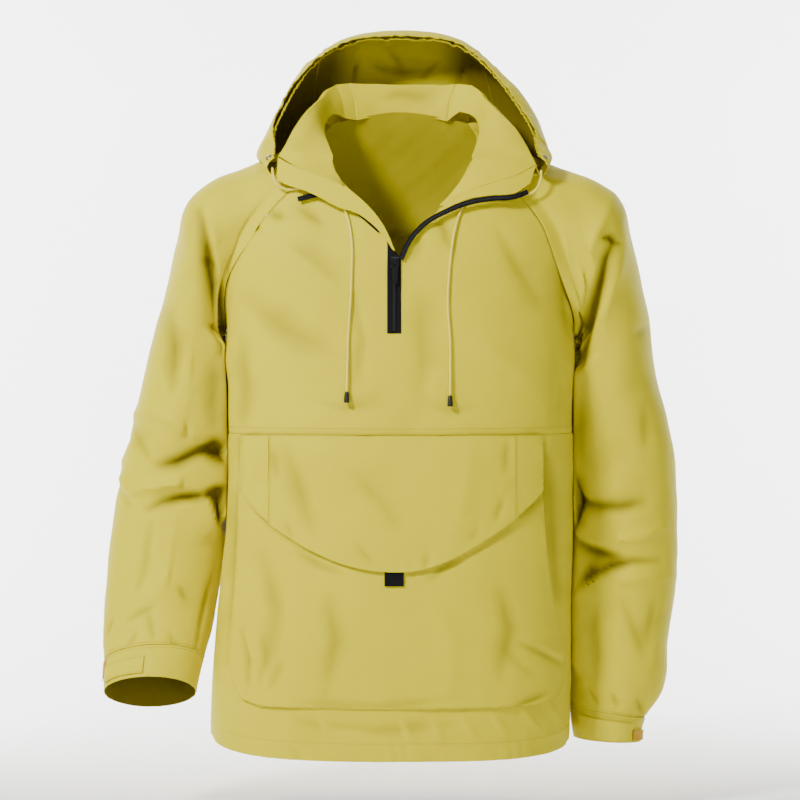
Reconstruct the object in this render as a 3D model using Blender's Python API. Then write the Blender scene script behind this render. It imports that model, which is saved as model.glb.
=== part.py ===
"""Half-zip anorak with a hood, worn open at the neck and filled out, with no wearer.

Millimetres in the tables, metres in the meshes. +Z is up, the front faces -Y and
"left" and "right" are as someone facing the garment sees them (left is -X). The
origin lies between the shoulders, where the base of the wearer's neck carries it.
"""
import math

import bmesh
import bpy
import numpy as np
from mathutils import Vector

MM = 0.001

# ---- cloth -------------------------------------------------------------------------
WALL = 1.5              # shell cloth with what its seams and hems add
SEAM = 0.3              # between pieces that are sewn edge to edge
SIDE_ANGLE = 0.0008     # half a seam, as a share of a quarter turn round the body

# ---- body --------------------------------------------------------------------------
BODY_MIDDLE = -10.0     # y of the side seams, where the body is widest
BODY_SQUARENESS = 2.4   # 2 is an ellipse; more fills the corners
YOKE_SEAM = -328.0      # z of the seam across the front
YOKE_SAG = 2.0
HEM = -721.5            # z of the hem in the middle of the front
HEM_RISE = {-1: 30.0, 1: 22.0}  # how much higher it hangs at the left and right side seams
ZIP_LEFT, ZIP_RIGHT = -15.5, 1.5    # x of the slit's edges
ZIP_BOTTOM = -208.0

# Half sizes of the body, from the hem up: to each side seam, and from those seams
# forwards and backwards. Rows above the underarm carry the chest up to the neck.
BODY = (
    # z, left, right, front, back
    (-722, 234, 209, 122, 130),
    (-684, 235, 211, 125, 131),
    (-617, 232, 212, 128, 133),
    (-536, 226, 213, 130, 134),
    (-467, 218, 215, 131, 136),
    (-386, 214, 215, 131, 139),
    (-300, 214, 215, 129, 142),
    (-256, 215.5, 216, 127, 143),
    (-232, 218.5, 218.5, 126, 143.5),
    (-205, 216.5, 216.5, 124, 144),
    (-150, 221, 221, 120, 145),
    (-116, 222, 222, 116, 144),
    (-70, 219, 219, 104, 142),
    (-30, 210, 210, 86, 136),
    (8, 194, 194, 62, 126),
    (40, 176, 176, 44, 114),
    (66, 160, 160, 36, 102),
    (92, 140, 140, 30, 90),
)

# Seams from the neck to the underarm, as seen from the front or the back: x, z.
RAGLAN_FRONT_LEFT = (
    (-88, 8), (-110, -13), (-135, -33), (-159, -58), (-174, -77), (-183, -93),
    (-203, -122), (-215, -150), (-217, -207))
RAGLAN_FRONT_RIGHT = (
    (92, 8), (120, -14), (150, -42), (164, -61), (175, -78), (182, -97),
    (195, -132), (206, -162), (217, -207))
RAGLAN_BACK = (
    (88, 66), (112, 42), (145, 0), (172, -50), (192, -105), (207, -155), (217, -207))

# Edge of the front from the raglan seam round the open neck to the zip: x, z.
NECK_LEFT = ((-82, 3), (-76, -14), (-66, -27), (-43, -50), (-28, -67), (-18, -83), (-15.5, -100))
NECK_RIGHT = ((86, 3), (78, -13), (59, -42), (42, -62), (25, -80), (10, -98), (1.5, -112))
NECK_BACK_TOP = 82.0    # z of the neck edge in the middle of the back
# Edge of a sleeve over the shoulder, between its two raglan seams: x, y, z.
NECK_SIDE = (96, 5, 42)

RAGLAN_STEPS = 11       # rows of the body between neck and underarm
NECK_STEPS = 6          # columns of a sleeve along the neck
YOKE_COLUMNS = 8        # each side of the zip

# ---- sleeves -----------------------------------------------------------------------
ARM_STEPS = 28          # columns round a sleeve
SEAM_RISE = (14.0, 8.0)         # first ring past the raglan seam: over the neck, underarm
# Rings fan out round the underarm and then follow the arm. Each spans from a point on
# the inner side to one on the outer side. Pitch leans its front up as the forearm
# bends, and taper narrows its inner side like an egg.
SLEEVE_LEFT = (
    # inner x, inner z, outer x, outer z, middle y, half depth, pitch, taper
    (-226, -212, -235, -15, -4, 96, 0, 0.45),
    (-225, -220, -265, -40, 0, 95, 0, 0.40),
    (-221, -231, -279, -91, 10, 92, 0, 0.32),
    (-217.5, -247, -294, -150, 22, 87, 0, 0.20),
    (-214, -267, -309.5, -200, 30, 82, 0, 0.10),
    (-213, -298, -322.5, -256, 34, 75, 0, 0),
    (-212.5, -340, -343, -338, 37, 69, 2, 0),
    (-212.5, -388, -355, -388, 38, 64, 4, 0),
    (-216, -440, -362, -442, 34, 60, 8, 0),
    (-226, -514, -369, -516, 21, 56, 16, 0),
    (-234, -566, -371, -574, 3, 51, 24, 0),
    (-244, -607, -367, -613, -17, 47, 29, 0),
)
SLEEVE_RIGHT = (
    (226, -212, 245, -15, -4, 96, 0, 0.45),
    (225, -220, 275, -40, 0, 95, 0, 0.40),
    (221, -231, 288, -81, 10, 92, 0, 0.32),
    (217.5, -247, 302, -133, 22, 87, 0, 0.20),
    (214.5, -267, 314, -188, 30, 82, 0, 0.10),
    (213.5, -298, 322, -250, 34, 75, 0, 0),
    (213, -340, 344, -341, 37, 68, 0, 0),
    (213, -395, 350, -398, 38, 64, 0, 0),
    (213, -450, 351, -452, 36, 61, 0, 0),
    (212.5, -520, 348, -522, 32, 58, 0, 0),
    (212, -590, 338, -592, 26, 54, 0, 0),
    (212, -643, 329, -655, 22, 50, 0, 0),
    (213, -668, 309, -685, 20, 46, 0, 0),
)
SLEEVE_STEPS = {1: 3, 7: 2, 8: 2, 9: 2, 10: 3, 11: 3}    # rows between rings, where it isn't one
# The largest folds, as soft ridges and troughs along lines seen from the front, and what
# the cloth does behind them: height, width and the x, z of each line.
FOLDS_FRONT = {
    -1: (
        (-5, 15, (-249, -62), (-232, -127), (-221, -203)),
        (4, 13, (-333, -306), (-283, -314), (-241, -341)),
        (-6, 13, (-310, -366), (-260, -361), (-223, -360)),
        (5, 11, (-213, -388), (-255, -393), (-328, -410)),
        (-5, 12, (-241, -412), (-298, -416), (-333, -423)),
        (3, 13, (-238, -421), (-254, -472), (-275, -516))),
    1: (
        (4, 13, (264, -37), (243, -91), (222, -176), (218, -216)),
        (-6, 14, (265, -89), (245, -144), (227, -213)),
        (3, 13, (276, -74), (265, -136), (243, -210)),
        (-4, 12, (232, -411), (270, -420), (327, -409)),
        (5, 12, (214, -452), (270, -460), (322, -446)),
        (-5, 12, (232, -494), (275, -488), (346, -487)),
        (3, 13, (248, -518), (340, -506))),
}
FOLDS_BACK = {
    -1: (
        (-4, 14, (-241, -89), (-222, -191)),
        (-4, 12, (-345, -337), (-260, -345), (-218, -352)),
        (4, 12, (-350, -364), (-263, -374), (-218, -379)),
        (-4, 12, (-350, -394), (-258, -402), (-221, -399))),
    1: (
        (-4, 14, (253, -89), (231, -194)),
        (4, 12, (233, -451), (273, -461), (327, -454)),
        (-4, 12, (236, -486), (279, -492), (337, -488))),
}
CUFF_WALL = 2.0
CUFF_LEFT = (
    (-244.1, -607.4, -366.9, -613.4, -17.2, 46.9, 29, 0),
    (-249, -630, -367, -634, -28, 45.5, 30, 0),
    (-252, -647, -366, -649, -36, 45, 31, 0),
)
CUFF_RIGHT = (
    (213.1, -668.4, 308.8, -685.4, 20, 45.9, 0, 0),
    (215, -692, 304, -703, 20, 44.5, 0, 0),
    (218, -710, 303, -715, 20, 44, 0, 0),
)
# Hook-and-loop tabs on the cuffs: where each lies round the cuff, in degrees from its
# inner side over the front, and along it, as shares of its length.
STRAP_LEFT = (96, 158, 0.30, 0.86)
PATCH_LEFT = (160, 176, 0.10, 0.62)
STRAP_RIGHT = (40, 128, 0.20, 0.92)
PATCH_RIGHT = (130, 165, 0.42, 0.90)
STRAP_RISE = 2.1                # of a tab's or patch's face over the cuff

# ---- hood --------------------------------------------------------------------------
# Profiles round the neck, from the left corner over the back to the right corner. Each
# starts at the neck, stands up to the ridge, drops to the bottom of the thrown-back bag,
# comes up its outer side and curls over the crown to the face edge.
HOOD = (
    # neck, ridge, bottom, belly, crown, rim
    ((-82, -70, 11), (-149.5, -64, 14), (-153, -69, -6), (-158, -79, -11), (-162, -79, -3), (-154, -74, 9)),
    ((-89, -43, 30), (-132, -36, 44), (-155, -46, 13), (-167, -49, 7), (-173, -42, 16), (-154, -42, 27)),
    ((-94, 0, 50), (-112, 8, 78), (-162, 8, 30), (-178, -2, 19), (-167, 0, 38), (-150, 0, 58)),
    ((-90, 44, 70), (-97, 52, 101), (-152, 77, 42), (-163, 84, 57), (-145, 64, 97), (-131, 50, 103)),
    ((-70, 74, 82), (-82, 84, 117), (-124, 130, 4), (-144, 148, 62), (-122, 116, 146), (-106, 94, 143)),
    ((-38, 86, 86), (-45, 96, 119), (-70, 152, -20), (-85, 188, 80), (-68, 148, 186), (-62, 122, 174)),
    ((0, 88, 87), (0, 98, 119), (0, 158, -28), (0, 202, 88), (0, 160, 196), (0, 128, 179)),
    ((42, 86, 86), (50, 96, 119), (76, 152, -20), (92, 188, 80), (72, 148, 186), (70, 122, 171)),
    ((76, 74, 82), (92, 84, 116), (132, 130, 4), (152, 148, 62), (124, 116, 144), (109, 92, 136)),
    ((95, 44, 70), (106, 52, 101), (158, 77, 38), (176, 84, 50), (158, 64, 94), (135, 48, 92)),
    ((99, 0, 50), (121, 8, 76), (172, 8, 27), (187, -2, 16), (179, 0, 36), (158, 2, 54)),
    ((95, -43, 31), (146, -36, 44), (168, -46, 8), (179, -50, 3), (186, -42, 14), (168, -42, 27)),
    ((88, -70, 12), (168, -64, 11), (171, -72, -10), (175, -82, -12), (180, -79, -1), (173, -74, 8)),
)
HOOD_SEAMS = (4.5, 7.5)         # where the centre panel starts and ends, in profiles
HOOD_GAP = 0.005                # half a seam there, in profiles
# The side panels run on from the corner profiles as lapels folded out on the chest,
# between the neck edge and the zip bands.
LAPEL_LEFT = ((-84, 8), (-81, -3), (-78, -10), (-73, -18), (-68, -26))     # neck x, z
LAPEL_RIGHT = ((90, 9), (86, -3), (77, -17), (67, -30), (57, -42), (47, -52))
LAPEL_COLUMNS = {-1: 6, 1: 13}  # steps of the band that each lapel follows, from the corner
LAPEL_NECK_RISE = 2.4           # of the visible face over the chest, at the neck edge
HOOD_STEPS = (3, 5, 3, 4, 2)      # rows between the points of a profile
CASING_WIDTH = 24.0
CASING_WALL = 1.4
CASING_GAP = 1.7                # to the panels it is sewn to, whose facets differ

# ---- zip bands and zip -------------------------------------------------------------
# The straight band that faces each front edge: its neck or seam side, and its free edge.
BAND_LEFT = (
    # upper x, upper z, lower x, lower z; from the zip up to the corner
    (-6, -109, -9, -107),
    (-17, -83, -22, -88),
    (-42, -50, -52, -63),
    (-66, -30.5, -78, -54),
    (-89, -19.5, -99, -42),
    (-113, -11, -121, -32),
    (-133, -1, -138, -26.5),
    (-149, 9, -150.5, -19),
)
BAND_RIGHT = (
    (46, -58, 49, -60.5),
    (66, -45.5, 67, -51.5),
    (86, -34.4, 85, -44.5),
    (113, -24, 112, -40),
    (140, -15, 138, -37.5),
    (166, -1, 158, -24),
)
BAND_GAP = (0.6, 2.4)           # seam to the side panel, at the zip and the sharp corner
BAND_RISE = (3.2, 11.0)         # of its face over the chest, at the zip and the corner
TAPE_WIDTH = 6.0
TAPE_WALL = 0.9
TAPE_RIGHT = (                  # middle line of the open half: x, z, rise
    (4, -113, 3.0), (10, -98.6, 3.2), (22, -83, 3.8), (33.6, -72.5, 4.6), (50.4, -63, 5.6),
    (66, -55.5, 6.6), (86, -48.5, 8), (112, -44, 9.2), (138, -41.5, 10.2), (155, -35, 10.8))
TAPE_LEFT = (
    (-24, -84, 2.2), (-50, -61, 3.6), (-75, -47, 5.0), (-98, -43, 5.4), (-112, -43.5, 5.4),
    (-124, -44, 5.4))
STRIP_RISE = 0.4                # of the closed zip over the front
STRIP_TOP_LEFT, STRIP_TOP_RIGHT = -99.0, -117.0     # z of its slanted top
ZIP_MIDDLE = -6.0               # x of the slider

# ---- slider and pull, in the slider's own frame: across, down the zip, out ----------
SLIDER_Z = -122.0               # of the pull's hinge
SLIDER_SIZE = (10.0, 12.0, 2.8)
SLIDER_RISE = 0.8               # of its underside over the front
BRIDGE_WIDTH = 2.4
BRIDGE_LEG = 1.2                # thickness of the bridge's legs and top
BRIDGE_REACH = 3.4              # from the hinge to the outside of each leg
HINGE_RISE = 5.0                # of the pull's hinge over the front
PULL_THICK = 1.2
PULL_WIDTH = 7.0
PULL_EYE = (3.6, 5.4)           # width, and reach from the hinge
PULL_LENGTH = 26.0

# ---- pocket and flap ---------------------------------------------------------------
POCKET = (
    # z, left x, right x
    (-331, -191, 169), (-400, -194, 171), (-493, -198, 179), (-573, -204, 192),
    (-612, -206, 201), (-636, -200, 196), (-651, -186, 184), (-657, -168, 162))
POCKET_RISE = 3.2
FLAP_LOWER = (                  # lower edge of the centre panel: x, z
    (-158, -437), (-110, -466), (-64, -485), (-20, -492.5), (10, -492.5), (46, -484),
    (67, -475), (104, -454), (140, -430))
EAR_LEFT_LOWER = ((-193, -400), (-176, -420), (-158.6, -435))
EAR_RIGHT_LOWER = ((140.6, -428), (160, -412), (173, -398))
FLAP_RISE = (5.2, 7.6)          # of its face: at the seam that holds it, further down
FLAP_LIFT = 25.0                # distance down in which it comes to the second
TAB = (-18.5, 4.5, -476.0, -510.0)  # webbing under the flap: left, right, top, bottom
TAB_RISE = 5.4
TAB_WALL = 1.6

# ---- drawcord ----------------------------------------------------------------------
CORD = 3.2                      # diameter
CORD_SPACING = 9.6
# Routes from the eyelet, under the band and down the front: x, z, rise over the chest.
CORD_LEFT = (
    (-155.5, -5, 17.5), (-154, -15, 17.0), (-150, -25, 13.0), (-139, -31, 6.0),
    (-118, -30, 2.3), (-92, -38, 2.1), (-72, -49, 2.1), (-64, -65, 2.1), (-59, -88, 2.1),
    (-58.5, -149, 2.1), (-62, -213, 2.4), (-63.5, -277.5, 4.3))
CORD_RIGHT = (
    (172, -8, 20.0), (171, -20, 19.0), (166, -31, 14.0), (157, -37, 7.5), (146, -38, 4.5),
    (122, -33, 2.3), (98, -37, 2.1), (80, -46, 2.1), (73, -60, 2.1), (65, -88, 2.1),
    (60, -125, 2.1), (57.5, -175, 2.1), (60, -213, 2.4), (60, -282, 4.3))
CORD_END = (                    # turned profile: distance down, radius
    (0.0, 2.1), (1.5, 2.6), (9.0, 3.2), (12.0, 3.4), (13.0, 3.0))
EYELET = (9.0, 4.2, 1.2)        # outer and inner diameter, thickness
EYELET_PLACE = 0.22             # from the corner profile, in profiles
EYELET_SHARE = 0.55             # up the last stretch of the profile


def spline(keys, values, at):
    """Value at `at` of the smooth curve through the rows `values`, placed at `keys`."""
    keys = np.asarray(keys, float)
    values = np.asarray(values, float)
    slopes = np.gradient(values, keys, axis=0)
    at = min(max(at, keys[0]), keys[-1])
    i = min(max(int(np.searchsorted(keys, at)) - 1, 0), len(keys) - 2)
    step = keys[i + 1] - keys[i]
    t = (at - keys[i]) / step
    start, end = values[i], values[i + 1]
    return ((2 * t**3 - 3 * t**2 + 1) * start + (3 * t**2 - 2 * t**3) * end
            + step * ((t**3 - 2 * t**2 + t) * slopes[i] + (t**3 - t**2) * slopes[i + 1]))


def lengths(points):
    """Distance along a row of points, up to each."""
    steps = np.linalg.norm(np.diff(points, axis=0), axis=1)
    return np.concatenate(([0.0], np.cumsum(steps)))


def even(points, count, scale=1.0):
    """`count` points evenly spaced on the smooth curve through `points`.

    `scale` weighs each coordinate when the spacing is measured.
    """
    points = np.asarray(points, float)
    keys = lengths(points * scale)
    fine = np.array([spline(keys, points, k) for k in np.linspace(0, keys[-1], 12 * count)])
    run = lengths(fine * scale)
    wanted = np.linspace(0, run[-1], count)
    return np.stack([np.interp(wanted, run, fine[:, i]) for i in range(fine.shape[1])], axis=1)


# ---- the body's surface ------------------------------------------------------------

BODY_KEYS = [row[0] for row in BODY]
BODY_SIZES = [row[1:] for row in BODY]


def half_sizes(angle, z, back):
    """Half width and half depth of the body at height z, on the side of `angle`."""
    left, right, front, rear = spline(BODY_KEYS, BODY_SIZES, z)
    return (left if angle < 0 else right), (rear if back else front)


def on_body(angle, z, out=0.0, back=False):
    """A point on the body, `out` over it.

    `angle` runs from -1 at the left side seam through 0 in the middle to 1 at the right.
    """
    def place(a, height):
        width, depth = half_sizes(a, height, back)
        turn = a * math.pi / 2
        n = BODY_SQUARENESS
        reach = (abs(math.sin(turn) / width)**n + abs(math.cos(turn) / depth)**n)**(-1 / n)
        y = reach * math.cos(turn)
        return np.array([reach * math.sin(turn), BODY_MIDDLE + (y if back else -y), height])

    point = place(angle, z)
    if not out:
        return point
    return point + out * body_normal(angle, z, back)


def body_normal(angle, z, back=False):
    """Unit vector away from the body."""
    step = 0.004
    across = on_body(angle + step, z, 0, back) - on_body(angle - step, z, 0, back)
    up = on_body(angle, z + 1, 0, back) - on_body(angle, z - 1, 0, back)
    normal = np.cross(up, across) if back else np.cross(across, up)
    return normal / np.linalg.norm(normal)


def angle_of(x, z, back=False):
    """Angle of the point of the body that is at x, at height z."""
    width, depth = half_sizes(x, z, back)
    share = min(abs(x) / width, 1.0)
    y = depth * (1 - share**BODY_SQUARENESS)**(1 / BODY_SQUARENESS)
    return math.copysign(math.atan2(abs(x), y) / (math.pi / 2), x)


def seen(x, z, out=0.0):
    """Point over the front that lies at x, z when seen from the front.

    It is moved straight forwards, as far as puts it `out` over the slope there.
    """
    angle = angle_of(x, z)
    facing = max(-body_normal(angle, z)[1], 0.4)
    return on_body(angle, z) - np.array([0, out / facing, 0])


def chart(points, back=False):
    """The angle and height of each x, z of a seam on the body."""
    return np.array([(angle_of(x, z, back), z) for x, z in points])


CHART_SCALE = np.array([250.0, 1.0])    # a quarter turn is about this long


# ---- solids from sheets ------------------------------------------------------------

def under(grid, wall, flip=False, smooth=0):
    """The other face of a sheet: each point of the grid moved one wall along its normal.

    `smooth` evens the normals out between neighbours, for tight folds.
    """
    rows = np.gradient(grid, axis=0)
    columns = np.gradient(grid, axis=1)
    normals = np.cross(rows, columns)
    normals /= np.maximum(np.linalg.norm(normals, axis=2, keepdims=True), 1e-9)
    for _ in range(smooth):
        padded = np.pad(normals, ((1, 1), (1, 1), (0, 0)), mode="edge")
        normals = (2 * normals + padded[:-2, 1:-1] + padded[2:, 1:-1]
                   + padded[1:-1, :-2] + padded[1:-1, 2:]) / 6
        normals /= np.maximum(np.linalg.norm(normals, axis=2, keepdims=True), 1e-9)
    return grid + (wall if flip else -wall) * normals


def wrap(grid):
    """The grid of a tube with its first two and last two columns repeated for normals."""
    return np.concatenate((grid[:, -2:], grid, grid[:, :2]), axis=1)


def under_tube(grid, wall, flip=False):
    return under(wrap(grid), wall, flip)[:, 2:-2]


def add_object(name, mesh, material):
    mesh.materials.append(material)
    mesh.shade_smooth()
    mesh.set_sharp_from_angle(angle=math.radians(50))
    obj = bpy.data.objects.new(name, mesh)
    bpy.context.scene.collection.objects.link(obj)
    return obj


def sheet(name, face, other, material, closed=False, present=None):
    """A closed solid between two grids of points: a wall of cloth.

    `closed` joins the last column to the first. `present(row, column)` says which cells
    are cloth; the others stay open, with the wall's edge round them.
    """
    rows, columns = face.shape[:2]
    wide = columns if closed else columns - 1
    cells = [(i, j) for i in range(rows - 1) for j in range(wide)
             if present is None or present(i, j)]
    bm = bmesh.new()
    made = {}

    def vertex(side, i, j):
        key = (side, i, j % columns)
        if key not in made:
            source = face if side == 0 else other
            made[key] = bm.verts.new(source[i, j % columns] * MM)
        return made[key]

    borders = {}
    for i, j in cells:
        corners = ((i, j), (i, j + 1), (i + 1, j + 1), (i + 1, j))
        bm.faces.new([vertex(0, *c) for c in corners])
        bm.faces.new([vertex(1, *c) for c in reversed(corners)])
        for k in range(4):
            ends = (corners[k], corners[(k + 1) % 4])
            edge = frozenset((a, b % columns) for a, b in ends)
            borders[edge] = None if edge in borders else ends
    for ends in borders.values():
        if ends:
            a, b = ends
            bm.faces.new([vertex(0, *b), vertex(0, *a), vertex(1, *a), vertex(1, *b)])
    bmesh.ops.recalc_face_normals(bm, faces=bm.faces)
    mesh = bpy.data.meshes.new(name)
    bm.to_mesh(mesh)
    bm.free()
    return add_object(name, mesh, material)


# ---- pieces ------------------------------------------------------------------------

def body_sheet(name, places, material, back=False, out=0.0, wall=WALL, present=None):
    """A sheet on the body, from a grid of angles and heights."""
    def face(rise):
        return np.array([[on_body(a, z, rise, back) for a, z in row] for row in places])

    return sheet(name, face(out), face(out - wall), material, present=present)


def raglan(table, back=False):
    """Places down a raglan seam, from the neck to the underarm."""
    return even(chart(table, back), RAGLAN_STEPS + 1, CHART_SCALE)


def mirrored(table):
    return [(-x, *rest) for x, *rest in table]


def towards_middle(places, amount):
    """The places moved a little towards the middle of the body."""
    moved = places.copy()
    moved[:, 0] -= np.sign(moved[:, 0]) * amount
    return moved


def row_between(a, b, cells):
    return [a + (b - a) * i / cells for i in range(cells + 1)]


def neck_and_slit(table, x):
    """Places down an edge of the front: the neck, then the zip's slit."""
    neck_rows = 8
    neck = even(chart(table), neck_rows, CHART_SCALE)
    slit_rows = RAGLAN_STEPS + 1 - neck_rows
    heights = np.linspace(table[-1][1], ZIP_BOTTOM, slit_rows + 1)[1:]
    return np.concatenate((neck, [(angle_of(x, z), z) for z in heights]))


def make_front_yoke(material):
    """Upper front, slit for the zip and open round the neck."""
    half = YOKE_COLUMNS
    left = towards_middle(raglan(RAGLAN_FRONT_LEFT), 2 * SIDE_ANGLE)
    right = towards_middle(raglan(RAGLAN_FRONT_RIGHT), 2 * SIDE_ANGLE)
    slit_left = neck_and_slit(NECK_LEFT, ZIP_LEFT)
    slit_right = neck_and_slit(NECK_RIGHT, ZIP_RIGHT)
    places = [row_between(a, b, half) + row_between(c, d, half)
              for a, b, c, d in zip(left, slit_left, slit_right, right)]
    top = np.array(places[-1])
    bottom = top.copy()
    bottom[:, 0] *= (1 - SIDE_ANGLE) / (1 - 2 * SIDE_ANGLE)
    bottom[:, 1] = [yoke_seam(a) + SEAM / 2 for a in bottom[:, 0]]
    lower_rows = 4
    places += [top + (bottom - top) * i / lower_rows for i in range(1, lower_rows + 1)]
    return body_sheet("front_yoke", places, material,
                      present=lambda i, j: j != half or i >= RAGLAN_STEPS)


def yoke_seam(angle):
    return YOKE_SEAM - YOKE_SAG * math.cos(angle * math.pi / 2)


def hem(angle):
    return HEM + HEM_RISE[-1 if angle < 0 else 1] * abs(angle)**6


def front_angles(z):
    """Angles of the lower front's columns, which the pocket's straight sides follow."""
    left, right = pocket_sides(max(z, POCKET[4][0]))
    beside, across = 4, 18
    return np.concatenate((np.linspace(SIDE_ANGLE - 1, left, beside + 1)[:-1],
                           np.linspace(left, right, across + 1),
                           np.linspace(right, 1 - SIDE_ANGLE, beside + 1)[1:]))


def pocket_sides(z):
    """Angles of the pocket's two sides at height z."""
    left, right = spline([-row[0] for row in POCKET], [row[1:] for row in POCKET], -z)
    return angle_of(left, z), angle_of(right, z)


def make_front_lower(material):
    rows = 12
    places = []
    for s in np.linspace(0, 1, rows + 1):
        middle = YOKE_SEAM + (HEM - YOKE_SEAM) * s
        places.append([(a, (yoke_seam(a) - SEAM / 2) * (1 - s) + hem(a) * s) for a in front_angles(middle)])
    return body_sheet("front_lower", places, material)


def make_back(material):
    """One piece from the neck to the hem."""
    columns, lower_rows, neck_rows = 18, 8, 6
    left = towards_middle(raglan(mirrored(RAGLAN_BACK), True), 2 * SIDE_ANGLE)
    right = towards_middle(raglan(RAGLAN_BACK, True), 2 * SIDE_ANGLE)
    arch = NECK_BACK_TOP - RAGLAN_BACK[0][1]
    places = []
    for k, (a, b) in enumerate(zip(left, right)):
        rise = arch * max(0.0, 1 - k / neck_rows)
        row = np.array(row_between(a, b, columns))
        across = np.linspace(-1, 1, columns + 1)
        row[:, 1] += rise * (1 - across**2)
        places.append(row)
    top = places[-1]
    bottom = top.copy()
    bottom[:, 0] *= (1 - SIDE_ANGLE) / (1 - 2 * SIDE_ANGLE)
    bottom[:, 1] = [hem(a) for a in bottom[:, 0]]
    places += [top + (bottom - top) * i / lower_rows for i in range(1, lower_rows + 1)]
    return body_sheet("back", places, material, back=True)


def arm_ring(row):
    """Points round the arm: from its inner side over the front, outside and back."""
    inner_x, inner_z, outer_x, outer_z, middle_y, depth, pitch, taper = row
    middle = np.array([(inner_x + outer_x) / 2, middle_y, (inner_z + outer_z) / 2])
    half = np.array([(outer_x - inner_x) / 2, 0, (outer_z - inner_z) / 2])
    lean = math.radians(pitch)
    fore = depth * np.array([0, -math.cos(lean), math.sin(lean)])
    points = []
    for i in range(ARM_STEPS):
        turn = 2 * math.pi * i / ARM_STEPS
        narrow = 1 - taper * (1 + math.cos(turn)) / 2
        points.append(middle - half * math.cos(turn) + fore * narrow * math.sin(turn))
    return np.array(points)


def ease(share):
    """Smooth step from 0 to 1."""
    share = min(max(share, 0.0), 1.0)
    return share * share * (3 - 2 * share)


def armhole(side, front_table, back_table):
    """Points round the raglan seam, the body's normals there, and the ring after it.

    They start at the underarm and go up the front, over the neck and down the back.
    """
    front = raglan(front_table)[::-1]
    back = raglan(back_table, True)
    neck = even([on_body(*front[-1]), np.multiply(NECK_SIDE, (side, 1, 1)), on_body(*back[0], back=True)],
                NECK_STEPS + 1)
    points, normals, onward = [], [], []

    def add(point, normal, along, bend):
        outward = np.array([side, 0, -0.25])
        heading = (1 - bend) * along / np.linalg.norm(along) + bend * outward
        rise = SEAM_RISE[0] * (1 - bend) + SEAM_RISE[1] * bend
        points.append(point)
        normals.append(normal)
        onward.append(point + rise * heading / np.linalg.norm(heading))

    def add_seam(places, behind):
        for (angle, z), step in zip(places, steps_from_neck(len(places), behind)):
            point = on_body(angle, z, 0, behind)
            ahead = on_body(angle + side * 0.004, z, 0, behind)
            bend = ease((step - 4) / 6)
            add(point, body_normal(angle, z, behind), ahead - point, bend)

    def steps_from_neck(count, behind):
        return range(count) if behind else range(RAGLAN_STEPS, RAGLAN_STEPS - count, -1)

    add_seam(front, False)
    for point in neck[1:-1]:
        add(point, None, np.array([side * 0.93, 0, -0.37]), 0.0)
    add_seam(back[:-1], True)
    return np.array(points), normals, np.array(onward)


def sleeve_grid(side, front_table, back_table, rings):
    """Outer points of a sleeve, and the body's normals along its first row."""
    seam, normals, onward = armhole(side, front_table, back_table)
    stations = np.array([seam, onward] + [arm_ring(row) for row in rings])
    keys = range(len(stations))
    places = []
    for k in keys[:-1]:
        steps = SLEEVE_STEPS.get(k, 1)
        places += [k + i / steps for i in range(steps)]
    places.append(len(stations) - 1)
    return folded(np.array([spline(keys, stations, p) for p in places]), side), normals


def fold_height(places, line):
    """Share of a fold's height at each x, z: full on its line, fading at its ends."""
    height, width, *points = line
    points = np.array(points, float)
    nearest = np.full(len(places), 1e9)
    for a, b in zip(points, points[1:]):
        along = np.clip((places - a) @ (b - a) / ((b - a) @ (b - a)), 0, 1)
        nearest = np.minimum(nearest, np.linalg.norm(places - a - along[:, None] * (b - a), axis=1))
    return height * np.exp(-(nearest / width)**2)


def folded(grid, side):
    """A sleeve with its largest folds. Its ends stay as they are sewn."""
    source = wrap(grid)
    normals = np.cross(np.gradient(source, axis=0), np.gradient(source, axis=1))[:, 2:-2]
    normals /= np.maximum(np.linalg.norm(normals, axis=2, keepdims=True), 1e-9)
    middle = grid.mean(axis=1, keepdims=True)
    if (normals * (grid - middle)).sum() < 0:
        normals = -normals
    spots = grid.reshape(-1, 3)
    facing = -normals.reshape(-1, 3)[:, 1]
    lift = np.zeros(len(spots))
    for table, towards in ((FOLDS_FRONT, facing), (FOLDS_BACK, -facing)):
        share = np.array([ease((t + 0.45) / 0.5) for t in towards])
        for line in table[side]:
            lift += share * fold_height(spots[:, [0, 2]], line)
    lift = lift.reshape(grid.shape[:2])
    against_body = -side * normals[..., 0] > 0.15
    lift = np.where(against_body, np.minimum(lift, 0), lift)
    lift[:6] *= np.array([0, 0, 0, 0.2, 0.5, 0.8])[:, None]
    lift[-2:] = 0
    return grid + lift[..., None] * normals


def inside(grid, wall):
    """The inner face of a tube."""
    inner = under_tube(grid, wall)
    middle = grid.mean(axis=1, keepdims=True)
    spread = np.linalg.norm(inner - middle, axis=2).sum() - np.linalg.norm(grid - middle, axis=2).sum()
    return under_tube(grid, wall, flip=True) if spread > 0 else inner


def make_sleeve(name, side, front_table, back_table, rings, material):
    grid, normals = sleeve_grid(side, front_table, back_table, rings)
    inner = inside(grid, WALL)
    for i, normal in enumerate(normals):
        if normal is None:
            continue
        steps_up = min(i, ARM_STEPS - i)
        flush = ease((steps_up - 2) / 3)
        own = (grid[0, i] - inner[0, i]) / WALL
        mixed = flush * normal + (1 - flush) * own
        inner[0, i] = grid[0, i] - WALL * mixed / np.linalg.norm(mixed)
    return sheet(name, grid, inner, material, closed=True)


def make_cuff(name, rings, material):
    grid = np.array([arm_ring(row) for row in rings])
    return sheet(name, grid, inside(grid, CUFF_WALL), material, closed=True)


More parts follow.
